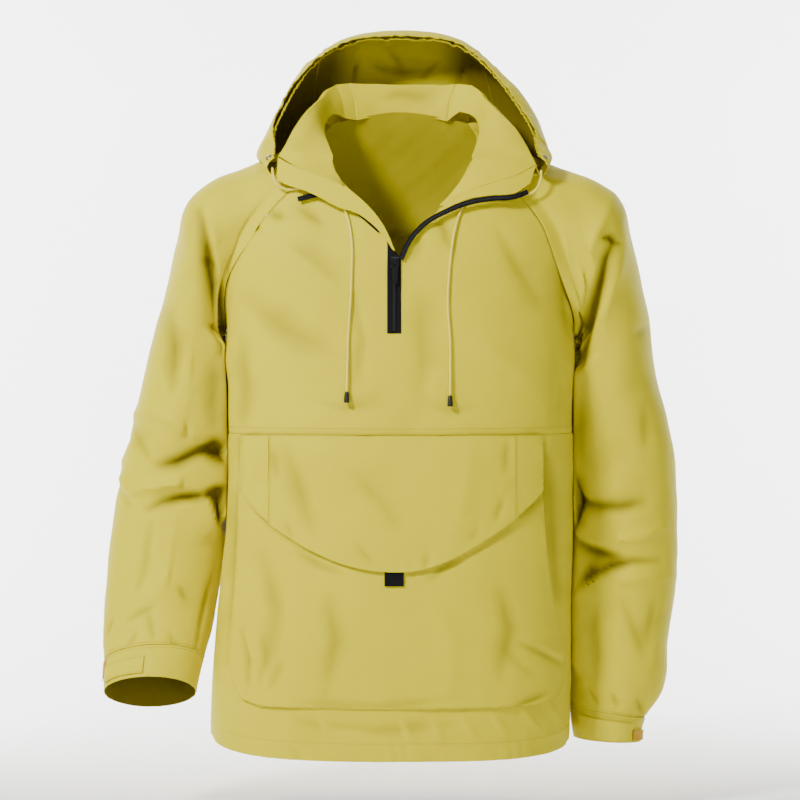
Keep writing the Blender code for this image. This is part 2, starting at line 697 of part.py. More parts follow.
def on_cuff(rings, degrees, share, out):
    """A point over a cuff: degrees round it from its inner side, share of its length."""
    def place(turn, along):
        stations = []
        for row in rings:
            ring = arm_ring(row)
            position = turn / 360 * ARM_STEPS
            i = int(position)
            stations.append(ring[i] + (ring[i + 1] - ring[i]) * (position - i))
        i = min(int(along * (len(rings) - 1)), len(rings) - 2)
        return stations[i] + (stations[i + 1] - stations[i]) * (along * (len(rings) - 1) - i)

    point = place(degrees, share)
    across = place(degrees + 2, share) - place(degrees - 2, share)
    down = place(degrees, min(share + 0.05, 1)) - place(degrees, max(share - 0.05, 0))
    normal = np.cross(down, across)
    normal /= np.linalg.norm(normal)
    middle = np.mean([arm_ring(row).mean(axis=0) for row in rings], axis=0)
    if np.dot(normal, point - middle) < 0:
        normal = -normal
    return point + out * normal


def make_cuff_patch(name, rings, spot, rise, wall, material):
    """A piece that lies on a cuff: its visible face is `rise` over it."""
    start, end, top, bottom = spot
    step = 360 / ARM_STEPS
    turns = [start] + [k * step for k in range(ARM_STEPS) if start + 2 < k * step < end - 2] + [end]
    shares = (top, 0.5, bottom)

    def face(out):
        return np.array([[on_cuff(rings, t, s, out) for t in turns] for s in shares])

    return sheet(name, face(rise), face(rise - wall), material)


# ---- hood --------------------------------------------------------------------------

def profile(at, steps=HOOD_STEPS):
    """Points up the hood's inner face at a place between its profiles."""
    table = np.array(HOOD, float)
    table[0, 1] = seen(*above_band(BAND_LEFT, BAND_STEPS))
    table[-1, 1] = seen(*above_band(BAND_RIGHT, BAND_STEPS))
    points = spline(range(len(HOOD)), table, at)
    keys = lengths(points)
    places = []
    for k, count in enumerate(steps):
        places += list(np.linspace(keys[k], keys[k + 1], count + 1)[:-1])
    places.append(keys[-1])
    return np.array([spline(keys, points, p) for p in places])


def band_rise(share):
    return BAND_RISE[0] + (BAND_RISE[1] - BAND_RISE[0]) * math.sin(share * math.pi / 2)


BAND_STEPS = 14


def band_edges(table):
    """Upper and lower edge of a band, and its rise, from the zip to the corner."""
    return even(table, BAND_STEPS + 1), [band_rise(s) for s in np.linspace(0, 1, BAND_STEPS + 1)]


def above_band(table, step):
    """Where the hood panel's edge is sewn to the band: x, z and rise over the chest."""
    edges, rises = band_edges(table)
    upper, lower = edges[step, :2], edges[step, 2:]
    gap = BAND_GAP[0] + (BAND_GAP[1] - BAND_GAP[0]) * (step / BAND_STEPS)**4
    x, z = upper + (upper - lower) / np.linalg.norm(upper - lower) * gap
    return np.array((x, z, rises[step]))


def lapel_columns(side, sink=0.0):
    """Columns of a side panel where it folds out on the chest, from the corner down.

    Only their first rows are cloth; the rest repeat the last point.
    """
    stand = HOOD_STEPS[0]
    table, neck = (BAND_LEFT, LAPEL_LEFT) if side < 0 else (BAND_RIGHT, LAPEL_RIGHT)
    count = LAPEL_COLUMNS[side]
    inner = even(neck, count + 1)[1:]
    columns = []
    for k, neck_place in enumerate(inner, start=1):
        start = np.array((*neck_place, LAPEL_NECK_RISE - sink))
        end = above_band(table, BAND_STEPS - k) - (0, 0, sink)
        puff = min(1.0, np.linalg.norm((end - start)[:2]) / 20)
        points = [seen(*(start + (end - start) * i / stand + (0, 0, puff * math.sin(math.pi * i / stand))))
                  for i in range(stand + 1)]
        points += [points[-1] - np.array([0, 0, 1e-3 * n]) for n in range(1, sum(HOOD_STEPS) - stand + 1)]
        columns.append(points)
    return columns


def make_hood_panel(name, start, end, count, material, lapel=0):
    """A panel from one place to another round the hood, with its lapel if it has one.

    Past each seam one more column is worked out, so that both panels' walls agree there.
    """
    step = (end - start) / count
    columns = [profile(start + step * i) for i in range(count + 1)]
    extra = lapel_columns(lapel) if lapel else []
    columns = extra[::-1] + columns if lapel < 0 else [profile(start - step)] + columns
    columns = columns + (extra if lapel > 0 else [profile(end + step)])
    grid = np.array(columns).transpose(1, 0, 2)
    other = under(grid, WALL, flip=True, smooth=1)
    kept = slice(0 if lapel < 0 else 1, None if lapel > 0 else -1)
    grid, other = grid[:, kept], other[:, kept]
    stand, wide = HOOD_STEPS[0], grid.shape[1] - 1
    first = len(extra) if lapel < 0 else 0
    last = wide - (len(extra) if lapel > 0 else 0)
    if lapel:
        hidden = np.array(lapel_columns(lapel, WALL)).transpose(1, 0, 2)
        spot = slice(0, first) if lapel < 0 else slice(last + 1, None)
        other[:, spot] = hidden[:, ::-1] if lapel < 0 else hidden
    return sheet(name, grid, other, material, present=lambda i, j: i < stand or first <= j < last)


def make_band(name, table, material):
    """The facing strip along a front edge."""
    across = 2
    edges, rises = band_edges(table)

    def face(sink):
        return np.array([[seen(*(row[:2] + (row[2:] - row[:2]) * c / across), rise - sink)
                          for c in range(across + 1)] for row, rise in zip(edges, rises)])

    return sheet(name, face(0), face(WALL), material)


def make_tape(name, table, material):
    """Half of the open zip, along its middle line."""
    line = even(table, 15)
    along = np.gradient(line[:, :2], axis=0)
    along /= np.linalg.norm(along, axis=1, keepdims=True)
    beside = np.stack((-along[:, 1], along[:, 0]), axis=1) * TAPE_WIDTH / 2

    def face(sink):
        return np.array([[seen(*(row[:2] + side * c), row[2] - sink) for c in (-1, 1)]
                         for row, side in zip(line, beside)])

    return sheet(name, face(0), face(TAPE_WALL), material)


def make_zip_strip(material):
    """The closed zip between the slit's edges."""
    left = ZIP_LEFT + SEAM
    right = ZIP_RIGHT - SEAM
    bottom = ZIP_BOTTOM + SEAM

    def face(rise):
        rows = []
        for s in np.linspace(0, 1, 6):
            tops = np.linspace(STRIP_TOP_LEFT, STRIP_TOP_RIGHT, 4)
            rows.append([seen(x, top + (bottom - top) * s, rise)
                         for x, top in zip(np.linspace(left, right, 4), tops)])
        return np.array(rows)

    return sheet("zip_strip", face(STRIP_RISE), face(STRIP_RISE - 1.2), material)


def slider_frame():
    """Axes of the slider: its hinge's place, and across, down the zip and out."""
    place = seen(ZIP_MIDDLE, SLIDER_Z, 0)
    below = seen(ZIP_MIDDLE, SLIDER_Z - 20, 0)
    down = (below - place) / np.linalg.norm(below - place)
    across = np.array([1.0, 0, 0])
    out = np.cross(across, down)
    if out[1] > 0:
        out = -out
    return place, across, down, out


def extruded(name, outline, width, frame, middle=0.0):
    """A closed solid: an outline of (down, out) points, drawn out across the zip."""
    place, across, down, out = frame
    bm = bmesh.new()
    ends = []
    for side in (-0.5, 0.5):
        ends.append([bm.verts.new((place + across * (middle + side * width)
                                   + down * d + out * o) * MM) for d, o in outline])
    bm.faces.new(ends[0])
    bm.faces.new(ends[1][::-1])
    for i in range(len(outline)):
        j = (i + 1) % len(outline)
        bm.faces.new((ends[0][i], ends[1][i], ends[1][j], ends[0][j]))
    bmesh.ops.recalc_face_normals(bm, faces=bm.faces)
    mesh = bpy.data.meshes.new(name)
    bm.to_mesh(mesh)
    bm.free()
    return mesh


def make_slider(material):
    """Slider on the zip, with the bridge that holds its pull."""
    frame = slider_frame()
    width, length, thick = SLIDER_SIZE
    top = SLIDER_RISE + thick
    nose = 1.6
    body = [(-length / 2, SLIDER_RISE), (-length / 2, top - 1), (nose - length / 2, top),
            (length / 2 - nose, top), (length / 2, top - 1), (length / 2, SLIDER_RISE)]
    slider = add_object("zip_slider", extruded("zip_slider", body, width, frame), material)
    r, leg = BRIDGE_REACH, BRIDGE_LEG
    crown = HINGE_RISE + 1.0
    low = top - 0.5
    bridge = [(-r, low), (-r, crown), (leg - r, crown + leg), (r - leg, crown + leg), (r, crown),
              (r, low), (r - leg, low), (r - leg, crown), (leg - r, crown), (leg - r, low)]
    guide = bpy.data.objects.new("zip_bridge", extruded("zip_bridge", bridge, BRIDGE_WIDTH, frame))
    bpy.context.scene.collection.objects.link(guide)
    guide.hide_render = True
    guide.display_type = "WIRE"
    union = slider.modifiers.new("bridge", "BOOLEAN")
    union.operation = "UNION"
    union.solver = "EXACT"
    union.object = guide
    return slider


def make_pull(material):
    """Pull tab with an eye round the slider's bridge; it turns about its top bar."""
    place, across, down, out = slider_frame()
    hinge = place + HINGE_RISE * out
    eye, reach = PULL_EYE
    half = PULL_WIDTH / 2
    widths = (-half, -eye / 2, eye / 2, half)
    runs = (-0.75, 0.75, reach, PULL_LENGTH - 9, PULL_LENGTH)
    flare = (0.9, 1.0, 1.0, 1.0, 0.82)

    def face(side):
        return np.array([[across * x * wide + down * run + out * side * PULL_THICK / 2
                          for x in widths] for run, wide in zip(runs, flare)])

    pull = sheet("zip_pull", face(1), face(-1), material, present=lambda i, j: (i, j) != (1, 1))
    pull.location = Vector(hinge * MM)
    return pull


def make_pocket(material):
    """The big pocket, sewn on over the lower front; it lies flat."""
    heights = list(np.linspace(POCKET[0][0], -600, 8)) + [-615, -630, -641, -649, -654, POCKET[-1][0]]

    def face(rise):
        return np.array([[on_body(a, z, rise) for a in np.linspace(*pocket_sides(z), 25)] for z in heights])

    return sheet("pocket", face(POCKET_RISE), face(POCKET_RISE - WALL), material)


def flap_rise(drop):
    return FLAP_RISE[0] + (FLAP_RISE[1] - FLAP_RISE[0]) * ease(drop / FLAP_LIFT)


def make_flap_piece(name, lower, columns, material):
    """A piece of the flap: from the seam across the front down to its lower edge."""
    rows = 6
    xs = np.linspace(lower[0][0], lower[-1][0], columns + 1)
    ends = [spline([x for x, _ in lower], [z for _, z in lower], x) for x in xs]
    top = POCKET[0][0]

    def face(sink):
        grid = []
        for s in np.linspace(0, 1, rows + 1):
            grid.append([seen(x, top + (z - top) * s, flap_rise((top - z) * s) - sink)
                         for x, z in zip(xs, ends)])
        return np.array(grid)

    return sheet(name, face(0), face(WALL), material)


def make_tab(material):
    left, right, top, bottom = TAB

    def face(rise):
        return np.array([[seen(x, z, rise) for x in (left, right)]
                         for z in np.linspace(top, bottom, 3)])

    return sheet("webbing_tab", face(TAB_RISE), face(TAB_RISE - TAB_WALL), material)


def make_casing(material):
    """The turned-in hem of the hood's face edge, which the drawcord runs in."""
    columns = 34
    stretch = sum(HOOD_STEPS[:2])
    rows = []
    for at in np.linspace(0.45, len(HOOD) - 1.45, columns + 1):
        rising = profile(at)[stretch:]
        run = lengths(rising)
        width = min(CASING_WIDTH, 0.45 * run[-1])
        rows.append([spline(run, rising, run[-1] - d) for d in (width, width / 2, 1.0)])
    grid = np.array(rows).transpose(1, 0, 2)
    return sheet("hood_casing", under(grid, CASING_GAP + CASING_WALL), under(grid, CASING_GAP), material)


def corner_place(side):
    """Place and outward direction of an eyelet at a corner of the hood."""
    at = EYELET_PLACE if side < 0 else len(HOOD) - 1 - EYELET_PLACE
    near = at + (0.1 if side < 0 else -0.1)

    def point(where, share):
        rising = profile(where)[sum(HOOD_STEPS[:4]):]
        run = lengths(rising)
        return spline(run, rising, run[-1] * share)

    place = point(at, EYELET_SHARE)
    up = point(at, EYELET_SHARE + 0.1) - point(at, EYELET_SHARE - 0.1)
    along = point(near, EYELET_SHARE) - place
    normal = np.cross(up, along)
    normal /= np.linalg.norm(normal)
    if normal[1] > 0:
        normal = -normal
    return place, normal


def make_eyelet(name, side, material):
    outer, inner, thick = EYELET
    place, normal = corner_place(side)
    turns = 12
    profile_points = ((inner / 2, 0), (outer / 2, 0), (outer / 2, thick * 0.6), (inner / 2 + 1, thick),
                      (inner / 2, thick * 0.6))
    frame = Vector(normal).to_track_quat("Z", "Y")
    bm = bmesh.new()
    rings = []
    for i in range(turns):
        turn = 2 * math.pi * i / turns
        rings.append([bm.verts.new(frame @ Vector((r * math.cos(turn), r * math.sin(turn), h)) * MM)
                      for r, h in profile_points])
    for i, ring in enumerate(rings):
        after = rings[(i + 1) % turns]
        for k in range(len(ring)):
            m = (k + 1) % len(ring)
            bm.faces.new((ring[k], after[k], after[m], ring[m]))
    bmesh.ops.recalc_face_normals(bm, faces=bm.faces)
    mesh = bpy.data.meshes.new(name)
    bm.to_mesh(mesh)
    bm.free()
    eyelet = add_object(name, mesh, material)
    eyelet.location = Vector((place + normal * (WALL + SEAM)) * MM)
    return eyelet


def cord_points(route):
    line = np.array([seen(x, z, rise) for x, z, rise in route])
    count = round(lengths(line)[-1] / CORD_SPACING) + 1
    return even(line, count)


def make_cord(name, route, material):
    curve = bpy.data.curves.new(name, "CURVE")
    curve.dimensions = "3D"
    curve.bevel_depth = CORD / 2 * MM
    curve.bevel_resolution = 1
    curve.use_fill_caps = True
    points = cord_points(route)
    line = curve.splines.new("POLY")
    line.points.add(len(points) - 1)
    for slot, point in zip(line.points, points):
        slot.co = (*(point * MM), 1)
    curve.materials.append(material)
    cord = bpy.data.objects.new(name, curve)
    bpy.context.scene.collection.objects.link(cord)
    return cord


def make_cord_end(name, route, material):
    """The moulded end that closes a cord, straight on from it."""
    points = cord_points(route)
    down = points[-1] - points[-2]
    down /= np.linalg.norm(down)
    start = points[-1] + down * SEAM
    frame = Vector(down).to_track_quat("Z", "Y")
    turns = 12
    bm = bmesh.new()
    rings = [[bm.verts.new(frame @ Vector((r * math.cos(2 * math.pi * i / turns),
                                           r * math.sin(2 * math.pi * i / turns), d)) * MM)
              for i in range(turns)] for d, r in CORD_END]
    bm.faces.new(rings[0][::-1])
    bm.faces.new(rings[-1])
    for a, b in zip(rings, rings[1:]):
        for i in range(turns):
            j = (i + 1) % turns
            bm.faces.new((a[i], a[j], b[j], b[i]))
    bmesh.ops.recalc_face_normals(bm, faces=bm.faces)
    mesh = bpy.data.meshes.new(name)
    bm.to_mesh(mesh)
    bm.free()
    end = add_object(name, mesh, material)
    end.location = Vector(start * MM)
    return end


def cloth(name, colour, roughness=0.55, metallic=0.0):
    material = bpy.data.materials.new(name)
    material.use_nodes = True
    shader = material.node_tree.nodes["Principled BSDF"]
    shader.inputs["Base Color"].default_value = (*colour, 1)
    shader.inputs["Roughness"].default_value = roughness
    shader.inputs["Metallic"].default_value = metallic
    return material


def clear():
    for obj in list(bpy.data.objects):
        bpy.data.objects.remove(obj)


def main():
    clear()
    lime = (0.62, 0.54, 0.055)
    make_front_yoke(cloth("front_yoke", lime))
    make_front_lower(cloth("front_lower", lime))
    make_back(cloth("back", lime))
    make_sleeve("sleeve_left", -1, RAGLAN_FRONT_LEFT, mirrored(RAGLAN_BACK), SLEEVE_LEFT,
                cloth("sleeve_left", lime))
    make_sleeve("sleeve_right", 1, RAGLAN_FRONT_RIGHT, RAGLAN_BACK, SLEEVE_RIGHT,
                cloth("sleeve_right", lime))
    make_cuff("cuff_left", CUFF_LEFT, cloth("cuff_left", lime))
    make_cuff("cuff_right", CUFF_RIGHT, cloth("cuff_right", lime))
    make_hood_panel("hood_left", 0, HOOD_SEAMS[0] - HOOD_GAP, 12, cloth("hood_left", lime), -1)
    make_hood_panel("hood_centre", HOOD_SEAMS[0] + HOOD_GAP, HOOD_SEAMS[1] - HOOD_GAP, 8,
                    cloth("hood_centre", lime))
    make_hood_panel("hood_right", HOOD_SEAMS[1] + HOOD_GAP, 12, 12, cloth("hood_right", lime), 1)
    make_band("band_left", BAND_LEFT, cloth("band_left", lime))
    make_band("band_right", BAND_RIGHT, cloth("band_right", lime))
    make_casing(cloth("hood_casing", lime))
    black = (0.01, 0.01, 0.012)
    make_tape("zip_tape_right", TAPE_RIGHT, cloth("zip_tape_right", black))
    make_tape("zip_tape_left", TAPE_LEFT, cloth("zip_tape_left", black))
    make_zip_strip(cloth("zip_strip", black))
    make_slider(cloth("zip_slider", black, 0.35))
    make_pull(cloth("zip_pull", black, 0.35))
    make_pocket(cloth("pocket", lime))
    make_flap_piece("pocket_flap", FLAP_LOWER, 16, cloth("pocket_flap", lime))
    make_flap_piece("flap_ear_left", EAR_LEFT_LOWER, 3, cloth("flap_ear_left", lime))
    make_flap_piece("flap_ear_right", EAR_RIGHT_LOWER, 3, cloth("flap_ear_right", lime))
    make_tab(cloth("webbing_tab", black))
    mustard = (0.62, 0.42, 0.03)
    make_cuff_patch("cuff_strap_left", CUFF_LEFT, STRAP_LEFT, STRAP_RISE, WALL,
                    cloth("cuff_strap_left", lime))
    make_cuff_patch("cuff_strap_right", CUFF_RIGHT, STRAP_RIGHT, STRAP_RISE, WALL,
                    cloth("cuff_strap_right", lime))
    make_cuff_patch("hook_patch_left", CUFF_LEFT, PATCH_LEFT, STRAP_RISE, WALL,
                    cloth("hook_patch_left", mustard, 0.8))
    make_cuff_patch("hook_patch_right", CUFF_RIGHT, PATCH_RIGHT, STRAP_RISE, WALL,
                    cloth("hook_patch_right", mustard, 0.8))
    for side, end, route in ((-1, "left", CORD_LEFT), (1, "right", CORD_RIGHT)):
        make_eyelet("eyelet_" + end, side, cloth("eyelet_" + end, (0.35, 0.34, 0.3), 0.3, 1.0))
        make_cord("drawcord_" + end, route, cloth("drawcord_" + end, (0.66, 0.6, 0.12)))
        make_cord_end("cord_end_" + end, route, cloth("cord_end_" + end, black, 0.4))


main()
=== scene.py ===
"""Looks of a half-zip anorak with a hood, worn open at the neck, with no wearer.

Every piece of cloth is a thin shell on the form of its solid, with its creases listed one
by one. Millimetres in the tables, metres in the meshes. +Z is up and the front faces -Y.
"""

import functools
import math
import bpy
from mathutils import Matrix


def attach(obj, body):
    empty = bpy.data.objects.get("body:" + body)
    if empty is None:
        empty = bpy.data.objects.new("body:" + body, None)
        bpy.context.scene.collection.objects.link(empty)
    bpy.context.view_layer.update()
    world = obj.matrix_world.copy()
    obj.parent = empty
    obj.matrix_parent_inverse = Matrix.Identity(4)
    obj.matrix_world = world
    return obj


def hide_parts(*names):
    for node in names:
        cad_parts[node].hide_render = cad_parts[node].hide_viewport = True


bl_info = {
    "name": "Hooded anorak",
    "version": (1, 0, 0),
    "blender": (4, 5, 0),
    "location": "View3D > Sidebar > Anorak",
    "description": "Builds a half-zip anorak in creased nylon, with its zip, drawcords and sewing",
    "category": "Add Mesh",
}

import bmesh
import bpy
import numpy as np
from mathutils import Vector

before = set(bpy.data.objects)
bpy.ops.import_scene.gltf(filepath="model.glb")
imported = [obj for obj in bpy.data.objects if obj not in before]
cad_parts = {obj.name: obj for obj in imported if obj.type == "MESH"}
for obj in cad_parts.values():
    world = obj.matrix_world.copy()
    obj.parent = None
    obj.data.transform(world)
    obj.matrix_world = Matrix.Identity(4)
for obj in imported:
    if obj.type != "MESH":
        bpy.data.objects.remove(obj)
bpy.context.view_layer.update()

MM = 0.001

# ---- cloth
WALL = 1.5  # shell cloth with what its seams and hems add
SEAM = 0.3  # between pieces that are sewn edge to edge
SIDE_ANGLE = 0.0008  # half a seam, as a share of a quarter turn round the body

# ---- body
BODY_MIDDLE = -10.0  # y of the side seams, where the body is widest
BODY_SQUARENESS = 2.4  # 2 is an ellipse; more fills the corners
YOKE_SEAM = -328.0  # z of the seam across the front
YOKE_SAG = 2.0
HEM = -721.5  # z of the hem in the middle of the front
HEM_RISE = {-1: 30.0, 1: 22.0}  # how much higher it hangs at the left and right side seams
ZIP_LEFT, ZIP_RIGHT = -15.5, 1.5  # x of the slit's edges
ZIP_BOTTOM = -208.0

# Half sizes of the body, from the hem up: to each side seam, and from those seams
# forwards and backwards. Rows above the underarm carry the chest up to the neck.
BODY = (
    # z, left, right, front, back
    (-722, 234, 209, 122, 130),
    (-684, 235, 211, 125, 131),
    (-617, 232, 212, 128, 133),
    (-536, 226, 213, 130, 134),
    (-467, 218, 215, 131, 136),
    (-386, 214, 215, 131, 139),
    (-300, 214, 215, 129, 142),
    (-256, 215.5, 216, 127, 143),
    (-232, 218.5, 218.5, 126, 143.5),
    (-205, 216.5, 216.5, 124, 144),
    (-150, 221, 221, 120, 145),
    (-116, 222, 222, 116, 144),
    (-70, 219, 219, 104, 142),
    (-30, 210, 210, 86, 136),
    (8, 194, 194, 62, 126),
    (40, 176, 176, 44, 114),
    (66, 160, 160, 36, 102),
    (92, 140, 140, 30, 90),
)

# Seams from the neck to the underarm, as seen from the front or the back: x, z.
RAGLAN_FRONT_LEFT = (
    (-88, 8), (-110, -13), (-135, -33), (-159, -58), (-174, -77), (-183, -93),
    (-203, -122), (-215, -150), (-217, -207))
RAGLAN_FRONT_RIGHT = (
    (92, 8), (120, -14), (150, -42), (164, -61), (175, -78), (182, -97),
    (195, -132), (206, -162), (217, -207))
RAGLAN_BACK = (
    (88, 66), (112, 42), (145, 0), (172, -50), (192, -105), (207, -155), (217, -207))

# Edge of the front from the raglan seam round the open neck to the zip: x, z.
NECK_LEFT = ((-82, 3), (-76, -14), (-66, -27), (-43, -50), (-28, -67), (-18, -83), (-15.5, -100))
NECK_RIGHT = ((86, 3), (78, -13), (59, -42), (42, -62), (25, -80), (10, -98), (1.5, -112))
NECK_BACK_TOP = 82.0  # z of the neck edge in the middle of the back
# Edge of a sleeve over the shoulder, between its two raglan seams: x, y, z.
NECK_SIDE = (96, 5, 42)

RAGLAN_STEPS = 11  # rows of the body between neck and underarm
NECK_STEPS = 6  # columns of a sleeve along the neck
YOKE_COLUMNS = 8  # each side of the zip

# ---- sleeves
ARM_STEPS = 28  # columns round a sleeve
SEAM_RISE = (14.0, 8.0)  # first ring past the raglan seam: over the neck, underarm
UNDERARM_BEND = (4, 10)  # rows down the seam between which that ring comes to lean outwards
# Rings fan out round the underarm and then follow the arm. Each spans from a point on
# the inner side to one on the outer side. Pitch leans its front up as the forearm
# bends, and taper narrows its inner side like an egg.
SLEEVE_LEFT = (
    # inner x, inner z, outer x, outer z, middle y, half depth, pitch, taper
    (-226, -212, -235, -15, -4, 96, 0, 0.45),
    (-225, -220, -265, -40, 0, 95, 0, 0.40),
    (-221, -231, -279, -91, 10, 92, 0, 0.32),
    (-217.5, -247, -294, -150, 22, 87, 0, 0.20),
    (-214, -267, -309.5, -200, 30, 82, 0, 0.10),
    (-213, -298, -322.5, -256, 34, 75, 0, 0),
    (-212.5, -340, -343, -338, 37, 69, 2, 0),
    (-212.5, -388, -355, -388, 38, 64, 4, 0),
    (-216, -440, -362, -442, 34, 60, 8, 0),
    (-226, -514, -369, -516, 21, 56, 16, 0),
    (-234, -566, -371, -574, 3, 51, 24, 0),
    (-244, -607, -367, -613, -17, 47, 29, 0),
)
SLEEVE_RIGHT = (
    (226, -212, 245, -15, -4, 96, 0, 0.45),
    (225, -220, 275, -40, 0, 95, 0, 0.40),
    (221, -231, 288, -81, 10, 92, 0, 0.32),
    (217.5, -247, 302, -133, 22, 87, 0, 0.20),
    (214.5, -267, 314, -188, 30, 82, 0, 0.10),
    (213.5, -298, 322, -250, 34, 75, 0, 0),
    (213, -340, 344, -341, 37, 68, 0, 0),
    (213, -395, 350, -398, 38, 64, 0, 0),
    (213, -450, 351, -452, 36, 61, 0, 0),
    (212.5, -520, 348, -522, 32, 58, 0, 0),
    (212, -590, 338, -592, 26, 54, 0, 0),
    (212, -643, 329, -655, 22, 50, 0, 0),
    (213, -668, 309, -685, 20, 46, 0, 0),
)
SLEEVE_STEPS = {1: 3, 7: 2, 8: 2, 9: 2, 10: 3, 11: 3}  # rows between rings, where it isn't one
CUFF_LEFT = (
    (-244.1, -607.4, -366.9, -613.4, -17.2, 46.9, 29, 0),
    (-249, -630, -367, -634, -28, 45.5, 30, 0),
    (-252, -647, -366, -649, -36, 45, 31, 0),
)
CUFF_RIGHT = (
    (213.1, -668.4, 308.8, -685.4, 20, 45.9, 0, 0),
    (215, -692, 304, -703, 20, 44.5, 0, 0),
    (218, -710, 303, -715, 20, 44, 0, 0),
)
# Hook-and-loop tabs on the cuffs: where each lies round the cuff, in degrees from its
# inner side over the front, and along it, as shares of its length.
STRAP_LEFT = (96, 158, 0.30, 0.86)
PATCH_LEFT = (160, 176, 0.10, 0.62)
STRAP_RIGHT = (40, 128, 0.20, 0.92)
PATCH_RIGHT = (130, 165, 0.42, 0.90)
STRAP_RISE = 2.1  # of a tab's or patch's face over the cuff

# ---- hood
# Profiles round the neck, from the left corner over the back to the right corner. Each
# starts at the neck, stands up to the ridge, drops to the bottom of the thrown-back bag,
# comes up its outer side and curls over the crown to the face edge.
HOOD = (
    # neck, ridge, bottom, belly, crown, rim
    ((-82, -70, 11), (-149.5, -64, 14), (-153, -69, -6), (-158, -79, -11), (-162, -79, -3), (-154, -74, 9)),
    ((-89, -43, 30), (-132, -36, 44), (-150, -30, 10), (-167, -49, 7), (-173, -42, 16), (-154, -42, 27)),
    ((-94, 0, 50), (-112, 8, 78), (-144, 40, 14), (-178, -2, 19), (-167, 0, 38), (-157, 0, 56)),
    ((-90, 44, 70), (-98, 48, 96), (-135, 84, 27), (-163, 84, 57), (-145, 64, 97), (-138, 50, 105)),
    ((-70, 74, 82), (-82, 84, 117), (-124, 130, 4), (-144, 148, 62), (-122, 116, 146), (-112, 94, 147)),
    ((-38, 86, 86), (-45, 96, 119), (-70, 152, -20), (-85, 188, 80), (-68, 148, 186), (-64, 122, 179)),
    ((0, 88, 87), (0, 98, 119), (0, 158, -28), (0, 202, 88), (0, 160, 196), (0, 128, 185)),
    ((42, 86, 86), (50, 96, 119), (76, 152, -20), (92, 188, 80), (72, 148, 186), (71, 122, 177)),
    ((76, 74, 82), (92, 84, 116), (132, 130, 4), (152, 148, 62), (124, 116, 144), (114, 92, 141)),
    ((95, 44, 70), (108, 48, 95), (141, 84, 24), (176, 84, 50), (158, 64, 94), (145, 48, 95)),
    ((99, 0, 50), (121, 8, 76), (152, 40, 12), (187, -2, 16), (179, 0, 36), (167, 2, 52)),
    ((95, -43, 31), (146, -36, 44), (163, -30, 6), (179, -50, 3), (186, -42, 14), (168, -42, 27)),
    ((88, -70, 12), (168, -64, 11), (171, -72, -10), (175, -82, -12), (180, -79, -1), (173, -74, 8)),
)
HOOD_SEAMS = (4.5, 7.5)  # where the centre panel starts and ends, in profiles
HOOD_GAP = 0.005  # half a seam there, in profiles
# The side panels run on from the corner profiles as lapels folded out on the chest,
# between the neck edge and the zip bands.
LAPEL_LEFT = ((-84, 8), (-81, -3), (-78, -10), (-73, -18), (-68, -26))  # neck x, z
LAPEL_RIGHT = ((90, 9), (86, -3), (77, -17), (67, -30), (57, -42), (47, -52))
LAPEL_COLUMNS = {-1: 6, 1: 13}  # steps of the band that each lapel follows, from the corner
LAPEL_NECK_RISE = 2.4  # of the visible face over the chest, at the neck edge
LAPEL_PUFF = 20.0  # width from which a lapel swells by a whole millimetre
HOOD_STEPS = (3, 5, 3, 4, 2)  # rows between the points of a profile
CASING_WIDTH = 24.0
CASING_WALL = 1.4
CASING_GAP = 1.7  # to the panels it is sewn to, whose facets differ
CASING_ENDS = 0.45  # from the corner profiles to its ends, in profiles
CASING_SHARE = 0.45  # of the way down to the bottom that it may take up
# At the back of the neck the panels' first row comes down behind the back's edge: none at
# the first value and all of it at the second.
NECK_TUCK_ACROSS = (78, 64)  # distance from the middle
NECK_TUCK_BACK = (30, 60)  # y
NECK_TUCK_Z = (78.0, 8.0)  # height in the middle, and how much lower it is 60 to the side
# Shade is painted on the inside of the thrown-back bag, in the same two values.
PAINTED_BAG_SHADE_RIDGE = (0.3, 2.3)  # rows past the ridge
PAINTED_BAG_SHADE_CROWN = (1.2, -1.8)  # rows past the crown
PAINTED_BAG_SHADE_SIDES = (45, 95)  # distance from the middle
PAINTED_BAG_SHADE_MIDDLE = 0.12  # painted shade in the middle, as a share of that at the sides

# ---- zip bands and zip
# The straight band that faces each front edge: its neck or seam side, and its free edge.
BAND_LEFT = (
    # upper x, upper z, lower x, lower z; from the zip up to the corner
    (-6, -109, -9, -107),
    (-17, -83, -22, -88),
    (-42, -50, -52, -63),
    (-66, -30.5, -78, -54),
    (-89, -19.5, -99, -42),
    (-113, -11, -121, -32),
    (-133, -1, -138, -26.5),
    (-149, 9, -150.5, -19),
)
BAND_RIGHT = (
    (46, -58, 49, -60.5),
    (66, -45.5, 67, -51.5),
    (86, -34.4, 85, -44.5),
    (113, -24, 112, -40),
    (140, -15, 138, -37.5),
    (166, -1, 158, -24),
)
BAND_GAP = (0.6, 2.4)  # seam to the side panel, at the zip and the sharp corner
BAND_RISE = (3.2, 11.0)  # of its face over the chest, at the zip and the corner
BAND_STEPS = 14  # rows along a band
TAPE_WIDTH = 6.0
TAPE_WALL = 0.9
TAPE_RIGHT = (  # middle line of the open half: x, z, rise
    (1.5, -118.5, 1.9), (4.5, -111, 3.0), (10, -98.6, 3.2), (22, -83, 3.8), (33.6, -72.5, 4.6),
    (50.4, -63, 5.6), (66, -55.5, 6.6), (86, -48.5, 8), (112, -44, 9.2), (138, -41.5, 10.2),
    (155, -35, 10.8))
TAPE_LEFT = (
    (-24, -84, 2.2), (-50, -61, 3.6), (-75, -43, 5.0), (-98, -38.5, 5.4), (-112, -41, 5.4),
    (-124, -44, 5.4))
STRIP_RISE = 0.4  # of the closed zip over the front
STRIP_TOP_LEFT, STRIP_TOP_RIGHT = -99.0, -117.0  # z of its slanted top
TOOTH_RISE = (0.7, 0.6)  # of the teeth over the strip and over the open tape
